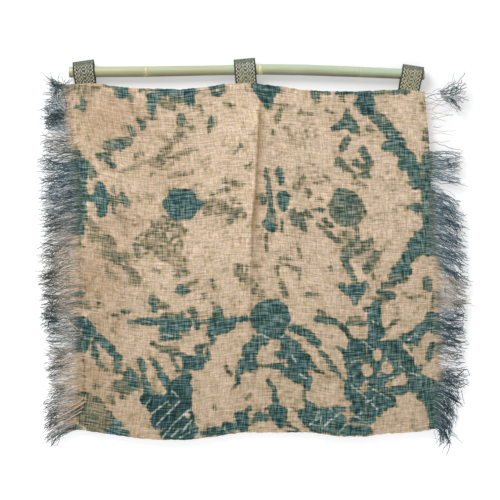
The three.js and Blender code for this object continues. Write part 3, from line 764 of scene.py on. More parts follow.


# Where the undyed yarn has browned, in steps of the chart, and a brown painted shade along the right side of
# the crease ridge.
wearAndCreaseShade = {
    "patches": [(108, 120, 42, 32, 1), (92, 275, 32, 36, 1), (92, 376, 26, 22, .8), (126, 222, 32, 18, .6),
                (170, 178, 34, 15, .45), (112, 328, 22, 18, .5), (138, 418, 24, 18, .45),
                (330, 105, 30, 14, .2)],  # x, y, spreadX, spreadY, amount
    "most": 1.1,
    # the painted crease shade: how dark and how wide it is along the ridge
    "line": [(-25, 0, 7), (-62, .95, 8), (-140, .9, 10), (-175, .7, 8), (-215, .8, 8), (-250, 1, 11),
             (-288, 1, 11), (-306, .6, 12), (-340, .35, 16),
             (-400, .25, 20), (-460, 0, 20)],  # z, depth, width
    "edge": 0.9,
}


def layWearAndCreaseShade(clothX, clothZ):
    x, y = toChart(clothX, clothZ)
    warm = np.zeros_like(x)
    for middleX, middleY, spreadX, spreadY, amount in wearAndCreaseShade["patches"]:
        warm += amount * bell(x - middleX, spreadX) * bell(y - middleY, spreadY)
    past = clothX - alongTable(crease["ridge"], clothZ)
    width = alongTable(wearAndCreaseShade["line"], clothZ, 2)
    # painted shade just right of the ridge, with a crisp edge on the ridge itself
    paintedCreaseShade = smoothStep(past, -wearAndCreaseShade["edge"], wearAndCreaseShade["edge"]) * bell(np.maximum(past, 0), width)
    return np.clip(warm, 0, wearAndCreaseShade["most"]), paintedCreaseShade * alongTable(wearAndCreaseShade["line"], clothZ)


# Raffia cloth

cloth = {
    "columns": 300,
    "rows": 290,
    "middleY": -2.4,
    "flat": (0.66, 0.65),  # metres
    "pitch": 0.0016,  # metres, yarn to yarn
    "fray": (1.6, 3, 4),  # how far the edges waver, and the cells of that at the sides and at the hems
    "slack": (0.5, 5, 40),  # how far yarns stand out, and the cells of that across and along them
}
dyeColours = {
    "blue": [
        (0.0, (214, 191, 169)), (0.18, (192, 172, 148)), (0.36, (151, 140, 115)), (0.52, (125, 126, 106)),
        (0.68, (104, 123, 116)), (0.84, (84, 115, 117)), (1.0, (54, 84, 91)),
    ],
    "green": [
        (0.0, (215, 192, 161)), (0.18, (189, 167, 133)), (0.36, (143, 132, 101)), (0.52, (114, 116, 89)),
        (0.68, (94, 114, 95)), (0.84, (79, 110, 98)), (1.0, (51, 80, 72)),
    ],
}
raffiaTones = {
    "fine": (430, 42),  # yarns to a metre across and along the streaks
    "broad": (190, 34),
    "weights": (0.4, 0.46, 0.1, 0.15),  # warp and weft fine, warp and weft broad
    "plainStreak": 0.52,
    "dyedStreak": 2.3,
    "darkest": 0.3,
    "edge": (0.24, 0.76),  # the cover at which the dye starts to take, and at which it takes in full
    "edgeRun": -0.16,  # how light yarns hold the dye's edge back
    "dyeByCrossing": 0.4,
    "dyeByYarn": -0.3,
    "bareWarps": (0.94, 0.99, 0.0, 0.5),
    "bareStretches": (-0.3, 0.4),
    "hueCells": (60, 60, 1),
    "hueByYarn": 0.25,
    "dyedFrom": (0.15, 0.75),
    "tiedWidth": (1.4, 0.45, 0.0, 0.85),
    "clouds": (9, 9, 1),
    "plainFall": (0.86, 0.9, 1.12),  # how fast red, green and blue fall with the light
    "dyedFall": (1.35, 0.92, 0.92),
    "crossing": [(0.0, 0.72), (0.1, 0.9), (0.5, 1.0), (0.88, 1.1), (1.0, 1.32)],
    "fall": [(0.0, 1.0), (0.5, 0.98), (0.8, 0.85), (1.0, 0.84)],  # the cloth's tone from the top to the hem: painted shade, darker towards the hem
    "warm": (0.75, 0.69, 0.63),
    # colour of the painted shade beside the crease
    "paintedCreaseShade": (0.72, 0.62, 0.44),
    "tied": (166, 180, 168),
    "bump": 0.0006,  # metres
}


def streakAlong(tree, yarns, scale):
    return mapValues(tree, noiseAlong(tree, yarns, (*scale, 1)), 0.3, 0.7, -1.0, 1.0)


def layStreaks(tree, yarns):
    (thin, long), (wide, longer) = raffiaTones["fine"], raffiaTones["broad"]
    scales = ((thin, long), (long, thin), (wide, longer), (longer, wide))
    return [streakAlong(tree, yarns, scale) for scale in scales]


def threadLight(tree, light, powers):
    red, green, blue = [calc(tree, "POWER", light, power) for power in powers]
    return addNode(tree, "CombineXYZ", {0: red, 1: green, 2: blue}).outputs[0]


def roundYarn(tree, count):
    centred = calc(tree, "MULTIPLY_ADD", calc(tree, "FRACT", count), 2.0, -1.0)
    return calc(tree, "SUBTRACT", 1.0, calc(tree, "MULTIPLY", centred, centred))


# A plain weave: the number of each warp yarn, the yarns' height, and a grain for each crossing.
def layWeave(tree, split):
    across, down = [calc(tree, "DIVIDE", split[way], cloth["pitch"]) for way in (0, 1)]
    warpNumber, weftNumber = calc(tree, "FLOOR", across), calc(tree, "FLOOR", down)
    over = calc(tree, "MODULO", calc(tree, "ADD", warpNumber, weftNumber), 2.0)
    warp, weft = roundYarn(tree, across), roundYarn(tree, down)
    weftRound = calc(tree, "MULTIPLY", weft, calc(tree, "MULTIPLY_ADD", warp, 0.5, 0.5))
    warpRound = calc(tree, "MULTIPLY", warp, calc(tree, "MULTIPLY_ADD", weft, 0.5, 0.5))
    crossing = addNode(tree, "CombineXYZ", {0: warpNumber, 1: weftNumber}).outputs[0]
    grain = addNode(tree, "TexWhiteNoise", {"Vector": crossing}, noise_dimensions="2D").outputs["Value"]
    return warpNumber, blendValues(tree, over, warpRound, weftRound), grain


# The dye's edge runs further along some yarns than along others, light yarns take less of it, and a
# few warp yarns are half bare for a stretch.
def takeDye(tree, warpNumber, grain, streak, warpBroad):
    cover = calc(tree, "MULTIPLY_ADD", streak, raffiaTones["edgeRun"], readAttribute(tree, "cover"))
    edge = mapValues(tree, cover, *raffiaTones["edge"], interpolation_type="SMOOTHSTEP")
    taken = calc(tree, "MULTIPLY", edge, readAttribute(tree, "tone"))
    taken = calc(tree, "MAXIMUM", taken, readAttribute(tree, "stain"))
    chance = calc(tree, "MULTIPLY", calc(tree, "SUBTRACT", grain, 0.5), raffiaTones["dyeByCrossing"])
    chance = calc(tree, "MULTIPLY_ADD", streak, raffiaTones["dyeByYarn"], chance)
    present = mapValues(tree, taken, 0.0, 0.4)
    present = calc(tree, "MULTIPLY", present, calc(tree, "MULTIPLY_ADD", taken, -0.8, 1.0))
    dark = calc(tree, "ADD", taken, calc(tree, "MULTIPLY", chance, present))
    thread = addNode(tree, "TexWhiteNoise", {"W": warpNumber}, noise_dimensions="1D").outputs["Value"]
    bare = mapValues(tree, thread, *raffiaTones["bareWarps"])
    bare = calc(tree, "MULTIPLY", bare, mapValues(tree, warpBroad, *raffiaTones["bareStretches"]))
    return calc(tree, "MULTIPLY", dark, calc(tree, "SUBTRACT", 1.0, bare))


# How light the yarns are: by streak, by crossing, by broad clouds, with painted shade where each yarn rounds
# off into its neighbours and painted shade darker towards the hem.
def lightYarns(tree, yarns, down, streak, grain, height, dyedShare):
    strength = blendValues(tree, dyedShare, raffiaTones["plainStreak"], raffiaTones["dyedStreak"])
    light = calc(tree, "MULTIPLY_ADD", streak, strength, 1.0)
    light = calc(tree, "MAXIMUM", light, raffiaTones["darkest"])
    factors = [
        addLevels(tree, grain, raffiaTones["crossing"]),
        # painted shade between the yarns: darker where each yarn rounds off, lighter on its crown
        calc(tree, "MULTIPLY_ADD", height, 0.26, 0.84),
        calc(tree, "MULTIPLY_ADD", noiseAlong(tree, yarns, raffiaTones["clouds"]), 0.22, 0.89),
        # painted shade: the cloth darker towards the hem
        addLevels(tree, calc(tree, "DIVIDE", down, cloth["flat"][1]), raffiaTones["fall"]),
    ]
    for factor in factors:
        light = calc(tree, "MULTIPLY", light, factor)
    return light


def makeRaffiaFinish():
    material, tree, shader = startFinish("raffiaWeave", 0.82, 0.22)
    yarns = addNode(tree, "UVMap", {}, uv_map="yarns").outputs[0]
    split = addNode(tree, "SeparateXYZ", {0: yarns}).outputs
    warpNumber, height, grain = layWeave(tree, split)
    streaks = layStreaks(tree, yarns)
    streak = 0.0
    for weight, value in zip(raffiaTones["weights"], streaks):
        streak = calc(tree, "MULTIPLY_ADD", value, weight, streak)
    dark = takeDye(tree, warpNumber, grain, streak, streaks[2])
    warpOverWeft = calc(tree, "SUBTRACT", streaks[0], streaks[1])
    hue = noiseAlong(tree, yarns, raffiaTones["hueCells"], 3.0)
    hue = mapValues(tree, calc(tree, "MULTIPLY_ADD", warpOverWeft, raffiaTones["hueByYarn"], hue), 0.3, 0.7)
    colour = blendColours(tree, hue, *[addRamp(tree, dark, dyeColours[name]) for name in ("blue", "green")])
    tied = mapValues(tree, readAttribute(tree, "tied"), *raffiaTones["tiedWidth"])
    tied = calc(tree, "MULTIPLY", tied, mapValues(tree, dark, 0.3, 0.7))
    colour = blendColours(tree, tied, colour, sRGB(*raffiaTones["tied"]))
    dyedShare = mapValues(tree, dark, *raffiaTones["dyedFrom"])
    light = lightYarns(tree, yarns, split[1], streak, grain, height, dyedShare)
    plain, dyed = [threadLight(tree, light, raffiaTones[name]) for name in ("plainFall", "dyedFall")]
    colour = shadeBy(tree, colour, blendColours(tree, dyedShare, plain, dyed))
    warm = calc(tree, "MULTIPLY", readAttribute(tree, "warm"), calc(tree, "SUBTRACT", 1.0, dyedShare))
    # the browned patches, then the painted brown shade beside the crease
    for share, tint in ((warm, raffiaTones["warm"]), (readAttribute(tree, "paintedCreaseShade"), raffiaTones["paintedCreaseShade"])):
        colour = shadeBy(tree, colour, blendColours(tree, share, (1, 1, 1, 1), (*tint, 1)))
    tree.links.new(colour, shader.inputs["Base Color"])
    addBump(tree, shader, calc(tree, "ADD", height, calc(tree, "MULTIPLY", grain, 0.5)), raffiaTones["bump"])
    return material


raffiaFinish = makeRaffiaFinish()


def makeCloth():
    mesh, across, up = makeGrid("clothSheet", cloth["columns"], cloth["rows"])
    down = 1 - up
    x, z, share = clothPlace(across, down)
    atSide, atHem = [(way < 1e-4) | (way > 1 - 1e-4) for way in (across, down)]
    for attribute, values in zip(("cover", "tone", "stain", "tied"), layDye(x, z)):
        writeVerts(mesh, attribute, values)
    # the browned patches, and the painted shade beside the crease
    for attribute, values in zip(("warm", "paintedCreaseShade"), layWearAndCreaseShade(x, z)):
        writeVerts(mesh, attribute, values)
    fray, sideCell, hemCell = cloth["fray"]
    x = x + np.where(atSide, drift(x, z, (fray, sideCell, sideCell), 51), 0)
    z = z + np.where(atHem, drift(x, z, (fray, hemCell, hemCell), 52), 0)
    stand, narrow, long = cloth["slack"]
    slack = stand * (softNoise(x, z, narrow, long, 53) + softNoise(x, z, long, narrow, 54) - 1)
    y = cloth["middleY"] - relief(x, z) + slack
    placeVerts(mesh, x, y, z)
    writeUV(mesh, "yarns", share * cloth["flat"][0], down * cloth["flat"][1])
    return addPiece("clothSheet", mesh, raffiaFinish, ["cloth"])


clothSheet = makeCloth()
print("cloth woven:", len(clothSheet.data.polygons), "faces")


# Weft ends of both fringes

fringe = {
    "inset": 1.2,  # the ends come out of the weave this far inside the cloth's edge
    "dyeFrom": 7,  # and keep the dye that the cloth has this far inside
    "rootUneven": 0.7,
    "rootYarns": {
        "count": {-1: 640, 1: 460},
        "rings": 7,
        "length": (18, 48),
        "within": 7,
        "leastShare": 0.3,
        "byTone": (1.25, 0.5),  # pale ones are longer
        "radius": 0.7,
        "taper": (1.05, 0.6),
        "vary": (0.7, 1.25),
        "fallShare": 0.6,  # of the strands' fall
        "moreFall": (3, 6),  # degrees, and their spread
        "kinks": [(0.8, 6)],
        "stand": 0.9,
        "depth": 1.2,
        "paleShare": 0.4,
    },
    "strands": {
        "count": {-1: 900, 1: 640},
        "rings": 18,
        "root": 0.8,  # radius
        "tip": 0.45,
        "vary": (0.65, 1.2),
        "tuftFall": 9,
        "tuftLength": (0.88, 1.08),
        "shorter": 0.35,
        "pinch": 0.75,  # how far a tuft draws together towards its tip
        "stand": 0.5,
        "paleShare": 0.55,
        "rootTone": (0.1, 0.4),  # spread, and how much paler the pale ones are
        "tipTone": (0.08, 0.5),
    },
    "sprays": {
        "uneven": 2,
        "length": (0.65, 1.1),
        "taper": (0.85, 0.3),
        "vary": (0.75, 1.2),
        "paleShare": 0.5,
        "tone": (0.08, 0.5),
    },
    "loose": {"rounding": 4, "stand": 2.5, "depth": 2.5, "taper": (0.9, 0.35)},
    "hairs": {
        "rings": 7,
        "length": (5, 16),
        "radius": 0.3,
        "taper": (1.1, 0.5),
        "vary": (0.7, 1.3),
        "place": (3, 1.4),  # mostly near the strands' tips
        "turn": 0.35,
        "curl": 1.2,
        "wave": (0.2, 0.9),
        "waves": (3, 9),
        "depth": 2.0,
        "toneSpread": 0.1,
    },
    "kinks": [(1.1, 15), (2.4, 19), (4.6, 18), (7.5, 11)],  # turns along a strand, degrees
    "spread": 12,
    "depth": 5.5,
    "tuftSize": 6,
    "coolSpread": 0.25,
    "light": (1, 0.13),
    "lightRange": (0.65, 1.25),
}
# Along each side: z, the strands' length and how far they turn down, degrees.
fringeFlow = {
    -1: [
        (-28, 40, -30), (-50, 44, 0), (-62, 44, 24), (-85, 48, 10), (-112, 56, -7), (-140, 70, 2),
        (-220, 76, 8), (-340, 78, 11), (-440, 75, 4), (-500, 65, 4), (-545, 68, 6), (-578, 52, 8),
        (-610, 68, 13), (-645, 62, 24), (-672, 56, 33),
    ],
    1: [
        (-41, 40, -10), (-78, 50, 10), (-100, 56, 8), (-150, 66, 0), (-190, 60, 3), (-212, 66, 26),
        (-280, 70, 18), (-330, 70, 30), (-385, 66, 26), (-430, 62, 10), (-450, 54, 8), (-510, 62, 6),
        (-540, 52, 6), (-565, 60, 10), (-600, 52, 30), (-630, 50, 58), (-666, 50, 72),
    ],
}
# Along each side: z, how many against the rest, tone near the root, tone at the tip, how bluish.
fringeLook = {
    -1: [
        (-28, 1, .7, .85, .5), (-42, .9, .7, .75, .6), (-60, .9, .4, .5, .9), (-75, 1.2, .85, .9, .7),
        (-100, 1, .7, .8, .6), (-118, .5, .4, .6, .6), (-130, 1.1, .6, .75, .3), (-165, .8, .6, .8, .5),
        (-180, 1.2, .7, .88, .8), (-205, 1.3, .82, .95, .8), (-240, 1.3, .72, .9, .7),
        (-265, 1.2, .5, .8, .4), (-320, 1.2, .38, .85, .1), (-345, 1.2, .22, .85, 0),
        (-440, 1.2, .2, .9, 0), (-460, 1.2, .4, .95, .5), (-480, 1, .38, .75, .5),
        (-505, 1, .28, .75, .4), (-520, 1, .12, .8, .05), (-575, .95, .05, .7, .1),
        (-600, 1.1, .1, .85, .1), (-640, 1.2, .25, .85, .2), (-672, 1.2, .5, .85, .5),
    ],
    1: [
        (-41, .1, .2, .5, .6), (-78, .12, .2, .5, .6), (-85, .02, .1, .2, .5), (-135, .02, .1, .2, .5),
        (-142, .5, .4, .7, .9), (-152, 1, .55, .85, 1), (-190, .9, .6, .8, 1), (-200, .25, .5, .75, 1),
        (-212, .7, .65, .8, 1), (-230, 1.2, .65, .9, 1), (-300, 1.3, .62, .85, 1),
        (-340, 1.3, .68, .92, 1), (-372, 1.1, .5, .9, .8), (-384, 1.4, -.35, .5, .35),
        (-437, 1.4, -.35, .6, .3), (-450, 1.1, .5, .9, .9), (-490, 1.2, .78, .9, .8),
        (-515, 1.1, .55, .9, .6), (-530, .6, .15, .7, .5), (-550, .7, .15, .7, .5),
        (-564, 1.5, .8, .95, .9), (-620, 1.4, .85, .95, .9), (-666, 1.4, .7, .9, 1),
    ],
}
# Sprays of strands from one place, in steps of the chart: x, y, length, fall, spread, how many, tone.
sprays = {
    -1: [(60, 87, 13, -8, 35, 14, .9), (60, 90, 11, 25, 40, 8, .9), (64, 113, 19, 8, 14, 9, .85),
         (66, 118, 22, 2, 12, 8, .8), (57, 319, 18, 2, 20, 18, .95), (68, 366, 22, 2, 12, 8, .8),
         (60, 413, 12, 20, 20, 6, .85)],
    1: [(440, 93, 27, -24, 14, 12, .8), (442, 96, 25, 4, 12, 14, .75), (446, 99, 20, 30, 12, 10, .8),
        (446, 320, 19, -25, 30, 12, .95), (444, 328, 20, 12, 20, 8, .85), (441, 416, 22, 60, 10, 6, .9)],
}
# Strands that stand out: tone (0 undyed) and radius, then places in steps of the chart.
loose = {
    -1: [
        (.95, .8, (70, 80), (67, 84), (62, 86), (56, 84), (50, 84), (44, 80)),
        (.8, .7, (62, 87), (56, 82), (50, 79), (47, 78), (42, 72)),
        (.6, .7, (60, 86), (55, 80), (52, 79), (51, 72)),
        (.7, .7, (60, 84), (58, 80), (59, 77), (61, 73)),
        (.5, .6, (64, 84), (63, 80), (62, 77), (63, 74)),
        (.9, .8, (72, 80), (70, 83), (67, 84), (64, 82), (66, 80)),
        (.7, .7, (60, 92), (54, 93), (48, 93), (44, 93)),
        (.25, .6, (56, 92), (50, 90), (45, 87), (41, 85)),
        (.8, .7, (56, 85), (60, 88), (63, 92), (66, 100), (67, 108)),
        (.5, .8, (54, 85), (52, 90), (52, 96), (52, 101)),
        (.15, 1.2, (58, 93), (58, 100), (62, 106), (66, 108)),
        (.1, 1.2, (56, 94), (56, 102), (60, 107), (65, 112)),
        (.25, 1.2, (60, 93), (62, 100), (64, 105), (66, 110)),
        (.2, 1.1, (57, 94), (55, 104), (58, 110), (64, 114)),
        (.35, 1, (54, 94), (53, 101), (52, 106), (50, 110)),
        (.85, .9, (60, 107), (55, 104), (50, 105), (43, 109), (39, 111)),
        (.9, .9, (62, 112), (55, 111), (50, 114), (45, 111)),
        (.95, 1, (60, 114), (54, 116), (50, 113), (46, 110)),
        (.9, .9, (64, 116), (57, 113), (52, 117), (46, 113), (42, 110)),
        (.85, .8, (60, 117), (53, 115), (49, 117), (43, 117), (40, 120)),
        (.9, 1, (62, 118), (56, 118), (50, 120), (47, 124), (49, 128), (54, 131), (60, 130)),
        (.7, .8, (50, 121), (54, 127), (58, 124), (62, 126)),
        (.8, .9, (48, 121), (46, 127), (48, 130), (54, 131)),
        (.5, .7, (42, 132), (45, 136), (49, 138), (56, 137)), (.8, .7, (41, 116), (46, 118), (49, 121)),
        (0, 1.5, (61, 317), (67, 320), (73, 325), (79, 330)), (0, 1.2, (64, 321), (70, 324), (77, 332)),
        (0, 1.2, (86, 401), (76, 408), (66, 413), (58, 418)),
        (0, 1.1, (84, 398), (74, 405), (66, 409), (58, 413)),
        (0, 1.1, (84, 407), (75, 412), (66, 417), (57, 421)),
        (.1, 1, (82, 411), (72, 417), (62, 423), (54, 429)), (.9, .9, (64, 418), (58, 418), (52, 418)),
        (.85, .8, (60, 410), (55, 413), (51, 417)), (.8, .8, (52, 417), (50, 424), (47, 429), (43, 433)),
        (.6, .7, (60, 433), (55, 437), (50, 440), (45, 440), (43, 438)),
        (.6, .8, (56, 436), (55, 441), (51, 447)), (.95, 1, (76, 427), (71, 428), (66, 431), (58, 436)),
        (.2, 1, (64, 424), (56, 428), (49, 433), (46, 438)),
        (.15, 1, (66, 428), (57, 431), (50, 436), (48, 440)),
    ],
    1: [
        (.75, .8, (427, 97), (433, 95), (441, 93)), (.3, .6, (432, 93), (436, 90), (440, 89)),
        (0, .6, (431, 104), (438, 99), (444, 97)), (0, .6, (432, 110), (438, 104), (443, 101)),
        (0, .7, (430, 102), (436, 104), (444, 107)), (0, .6, (431, 112), (440, 114), (452, 116)),
        (0, .7, (431, 120), (437, 119), (446, 122)), (0, .6, (432, 130), (442, 132), (456, 131)),
        (.2, .6, (431, 134), (440, 133), (452, 136)), (0, .7, (432, 141), (441, 143), (450, 141)),
        (.5, .7, (433, 127), (437, 128), (441, 127)), (.4, .7, (432, 118), (435, 117), (438, 118)),
        (.35, .7, (434, 430), (435, 436), (437, 445)),
        (.9, 1, (440, 428), (446, 436), (450, 441), (449, 448), (446, 455)),
        (.9, 1, (442, 422), (445, 433), (449, 440), (451, 444)),
        (.7, .8, (450, 440), (446, 445), (443, 448), (442, 453)),
        (.6, .8, (450, 433), (456, 437), (462, 443)), (.85, .9, (447, 426), (453, 433), (457, 436)),
        (.9, .9, (440, 372), (448, 371), (454, 375), (457, 378)),
        (.95, 1, (457, 378), (460, 373), (466, 368), (468, 370), (469, 376)),
        (.7, .8, (447, 366), (449, 370), (446, 376)),
        (.9, 1, (444, 384), (452, 384), (458, 389), (458, 397), (456, 404), (449, 407), (442, 409)),
        (.7, .8, (457, 388), (463, 386), (469, 382)), (.6, .7, (460, 380), (466, 376), (471, 373)),
        (.6, .7, (461, 390), (462, 396), (464, 404)), (.8, .9, (455, 400), (450, 398), (446, 402)),
        (.8, .9, (447, 392), (452, 390), (456, 392)),
        (.7, .7, (440, 181), (450, 181), (460, 184), (468, 187)),
        (.2, 1, (452, 405), (453, 415), (452, 428)), (.15, 1, (456, 404), (457, 414), (455, 426)),
        (.3, 1, (448, 408), (450, 418), (449, 430)),
        (.8, .8, (450, 300), (458, 306), (464, 314), (462, 322)),
    ],
}
fringeColours = {
    "warm": [(0.0, (216, 199, 180)), (0.25, (179, 165, 146)), (0.5, (126, 125, 111)), (0.75, (76, 89, 81)),
             (1.0, (42, 57, 53))],
    "cool": [(0.0, (222, 230, 236)), (0.25, (172, 192, 204)), (0.5, (108, 137, 150)), (0.75, (62, 93, 105)),
             (1.0, (38, 61, 69))],
    "root": [(0.0, (210, 188, 162)), (0.3, (176, 160, 138)), (0.6, (112, 128, 116)), (1.0, (54, 84, 84))],
}


def makeFringeFinish():
    material, tree, shader = startFinish("raffiaEnds", 0.68, 0.35)
    streaks = noiseAlong(tree, readPlace(tree), (260, 260, 260))
    uneven = calc(tree, "MULTIPLY_ADD", streaks, 0.5, -0.25)
    tint = calc(tree, "ADD", readAttribute(tree, "tint"), uneven)
    warm, cool = [addRamp(tree, tint, fringeColours[name]) for name in ("warm", "cool")]
    free = blendColours(tree, readAttribute(tree, "cool"), warm, cool)
    root = addRamp(tree, calc(tree, "ADD", readAttribute(tree, "dyed"), uneven), fringeColours["root"])
    colour = blendColours(tree, readAttribute(tree, "worn"), root, free)
    tree.links.new(shadeBy(tree, colour, readAttribute(tree, "light")), shader.inputs["Base Color"])
    addBump(tree, shader, streaks, 0.0002)
    return material


fringeFinish = makeFringeFinish()


def fringeRoots(look, count, random):
    downs = np.linspace(0, 1, 2000)
    z = clothPlace(0.0, downs)[1]
    weight = np.cumsum(alongTable(look, z, 1))
    places = (np.arange(count) + 0.5 + fringe["rootUneven"] * (random.random(count) - 0.5)) / count
    return np.interp(places, weight / weight[-1], downs)


# The weft ends' starts at one side: place, and how dark the dye is in the cloth there.
def startEnds(side, down):
    x, z, _ = clothPlace((side + 1) / 2, down)
    y = cloth["middleY"] - relief(x, z)
    cover, tone, stain, _ = layDye(x - side * fringe["dyeFrom"], z)
    return x - side * fringe["inset"], y, z, np.maximum(smoothStep(cover, 0.35, 0.65) * tone, stain)


# Lines that set out level from a root and turn down by the fall, with kinks on the way.
def layLines(side, start, length, fall, rings, kinks, random):
    count = len(length)
    along = np.linspace(0, 1, rings)[None, :]
    bend = fall[:, None] * np.sqrt(along)
    heading = bend + np.arctan(bend / 2)
    for turns, degrees in kinks:
        phase = random.random((count, 1)) * 2 * np.pi
        turns = turns * random.uniform(0.7, 1.3, (count, 1))
        size = np.radians(degrees) * random.uniform(0.3, 1.5, (count, 1))
        heading = heading + size * smoothStep(along, 0, 0.4) * np.sin(phase + along * turns * 2 * np.pi)
    step = length[:, None] / (rings - 1)
    x = start[0][:, None] + side * np.cumsum(np.cos(heading) * step, axis=1) - side * step
    z = start[2][:, None] - np.cumsum(np.sin(heading) * step, axis=1)
    return x, z, along


def makeFringe(name, side, node, seed):
    random = np.random.default_rng(seed)
    parts = [layRootYarns(side, random), layLoose(side, random)]
    for strands in (layStrands(side, random), laySprays(side, random)):
        parts += [strands, layHairs(strands, random)]
    pieces = []
    for number, (paths, radii, shades) in enumerate(parts):
        cool = alongTable(fringeLook[side], paths[:, 0, 2], 4)
        cool = cool + random.normal(0, fringe["coolSpread"], len(paths))
        light = random.normal(*fringe["light"], len(paths))
        shades["cool"] = np.clip(cool, 0, 1)[:, None]
        shades["light"] = np.clip(light, *fringe["lightRange"])[:, None]
        mesh, tube, ring, _ = growTubes(f"{name}{number}", paths, radii, 3)
        for attribute, values in shades.items():
            writeVerts(mesh, attribute, np.broadcast_to(values, radii.shape)[tube, ring])
        pieces.append(addPiece(f"{name}{number}", mesh, fringeFinish))
    return joinPieces(name, pieces, node)


def layRootYarns(side, random):
    sizes, look = fringe["rootYarns"], fringeLook[side]
    count = sizes["count"][side]
    start = startEnds(side, fringeRoots(look, count, random))
    share, tone = alongTable(look, start[2], 1), alongTable(look, start[2], 2)
    longest, shorter = sizes["byTone"]
    length = random.uniform(*sizes["length"], count) * np.clip(share, sizes["leastShare"], 1)
    length = length * (longest - shorter * tone)
    fall = alongTable(fringeFlow[side], start[2], 2) * sizes["fallShare"]
    fall = np.radians(fall + random.normal(*sizes["moreFall"], count))
    within = random.uniform(0, sizes["within"], count)
    root = (start[0] - side * within, start[1], start[2])
    x, z, along = layLines(side, root, length + within, fall, sizes["rings"], sizes["kinks"], random)
    y = start[1][:, None] - sizes["stand"] * smoothStep(along, 0, 0.3)
    y = y + random.normal(0, sizes["depth"], (count, 1)) * along
    thick, thinner = sizes["taper"]
    radii = sizes["radius"] * (thick - thinner * along) * random.uniform(*sizes["vary"], (count, 1))
    pale = random.random(count) < sizes["paleShare"]
    shades = {
        "dyed": start[3][:, None] - 0.12 * pale[:, None] + random.normal(0, 0.2, (count, 1)),
        "tint": np.clip(0.9 * tone - 0.45 * pale + random.normal(0, 0.18, count), 0.02, 1)[:, None],
        "worn": 0.9 * smoothStep(along, 0.08, 0.6),
    }
    return np.stack([x, y, z], axis=-1), radii, shades


def layStrands(side, random):
    sizes, flow, look = fringe["strands"], fringeFlow[side], fringeLook[side]
    count = sizes["count"][side]
    start = startEnds(side, fringeRoots(look, count, random))
    tuft = np.arange(count) // fringe["tuftSize"]
    tufts = tuft.max() + 1
    fall = alongTable(flow, start[2], 2) + random.normal(0, sizes["tuftFall"], tufts)[tuft]
    fall = np.radians(fall + random.normal(0, fringe["spread"], count))
    length = alongTable(flow, start[2]) * random.uniform(*sizes["tuftLength"], tufts)[tuft]
    length = length * (1.05 - sizes["shorter"] * random.random(count) ** 2) + fringe["inset"]
    x, z, along = layLines(side, start, length, fall, sizes["rings"], fringe["kinks"], random)
    pinch = random.uniform(0, sizes["pinch"], tufts)[tuft, None] * smoothStep(along, 0.15, 0.8)
    x, z = gatherTufts(x, tuft, pinch), gatherTufts(z, tuft, pinch)
    pale = random.random(count) < sizes["paleShare"]
    layer = np.where(pale, random.uniform(0, 1, count), random.uniform(-1, 0.4, count)) * fringe["depth"]
    y = start[1][:, None] + sizes["stand"] + layer[:, None] * smoothStep(along, 0, 0.45)
    taper = sizes["root"] + (sizes["tip"] - sizes["root"]) * along
    radii = taper * random.uniform(*sizes["vary"], (count, 1))
    (rootSpread, rootPaler), (tipSpread, tipPaler) = sizes["rootTone"], sizes["tipTone"]
    rootTone = alongTable(look, start[2], 2) + random.normal(0, rootSpread, count) - rootPaler * pale
    tipTone = alongTable(look, start[2], 3) + random.normal(0, tipSpread, count) - tipPaler * pale
    shades = {
        "dyed": np.broadcast_to(start[3][:, None], radii.shape),
        "tint": rootTone[:, None] + (tipTone - rootTone)[:, None] * smoothStep(along, 0.42, 0.88),
        "worn": np.broadcast_to(smoothStep(along, 0.04, 0.3), radii.shape),
    }
    return np.stack([x, y, z], axis=-1), radii, shades


def laySprays(side, random):
    sizes, rings = fringe["sprays"], fringe["strands"]["rings"]
    rows = np.repeat(np.array(sprays[side], float), [row[5] for row in sprays[side]], axis=0)
    count = len(rows)
    column, row, length, fall, spread, _, tone = rows.T
    column = column + random.normal(0, sizes["uneven"], count)
    x, z = fromChart(column, row + random.normal(0, sizes["uneven"], count))
    y = np.full(count, cloth["middleY"])
    fall = np.radians(fall + spread * random.normal(0, 1, count))
    length = length * chart["step"] * random.uniform(*sizes["length"], count)
    x, z, along = layLines(side, (x, y, z), length, fall, rings, fringe["kinks"], random)
    y = y[:, None] + random.uniform(-1, 0.3, (count, 1)) * fringe["depth"] * smoothStep(along, 0, 0.6)
    thick, thinner = sizes["taper"]
    radii = (thick - thinner * along) * random.uniform(*sizes["vary"], (count, 1))
    toneSpread, paler = sizes["tone"]
    pale = paler * (random.random(count) < sizes["paleShare"])
    tone = tone - pale + random.normal(0, toneSpread, count)
    shades = {"dyed": np.ones((count, 1)), "tint": tone[:, None], "worn": np.ones((count, 1))}
    return np.stack([x, y, z], axis=-1), radii, shades


def layLoose(side, random):
    sizes, rings = fringe["loose"], fringe["strands"]["rings"]
    lines = []
    for _, _, *places in loose[side]:
        x, z = fromChart(*zip(*places))
        run = np.concatenate([[0], np.cumsum(np.hypot(np.diff(x), np.diff(z)))])
        line = [np.interp(np.linspace(0, run[-1], rings), run, values) for values in (x, z)]
        for _ in range(sizes["rounding"]):
            line = [np.concatenate([v[:1], (v[:-2] + 2 * v[1:-1] + v[2:]) / 4, v[-1:]]) for v in line]
        lines.append(line)
    lines = np.array(lines)
    along = np.linspace(0, 1, rings)[None, :]
    y = cloth["middleY"] - sizes["stand"] - sizes["depth"] * random.random((len(lines), 1)) * along
    tone, radius = [np.array([row[number] for row in loose[side]])[:, None] for number in (0, 1)]
    thick, thinner = sizes["taper"]
    radii = radius * (thick - thinner * along)
    shades = {"dyed": tone + 0.1, "tint": tone, "worn": np.where(tone > 0, 1, 0.1)}
    return np.stack([lines[:, 0], y, lines[:, 1]], axis=-1), radii, shades


def gatherTufts(values, tuft, pinch):
    middle = np.stack([values[tuft == number].mean(axis=0) for number in range(tuft.max() + 1)])
    return values + (middle[tuft] - values) * pinch


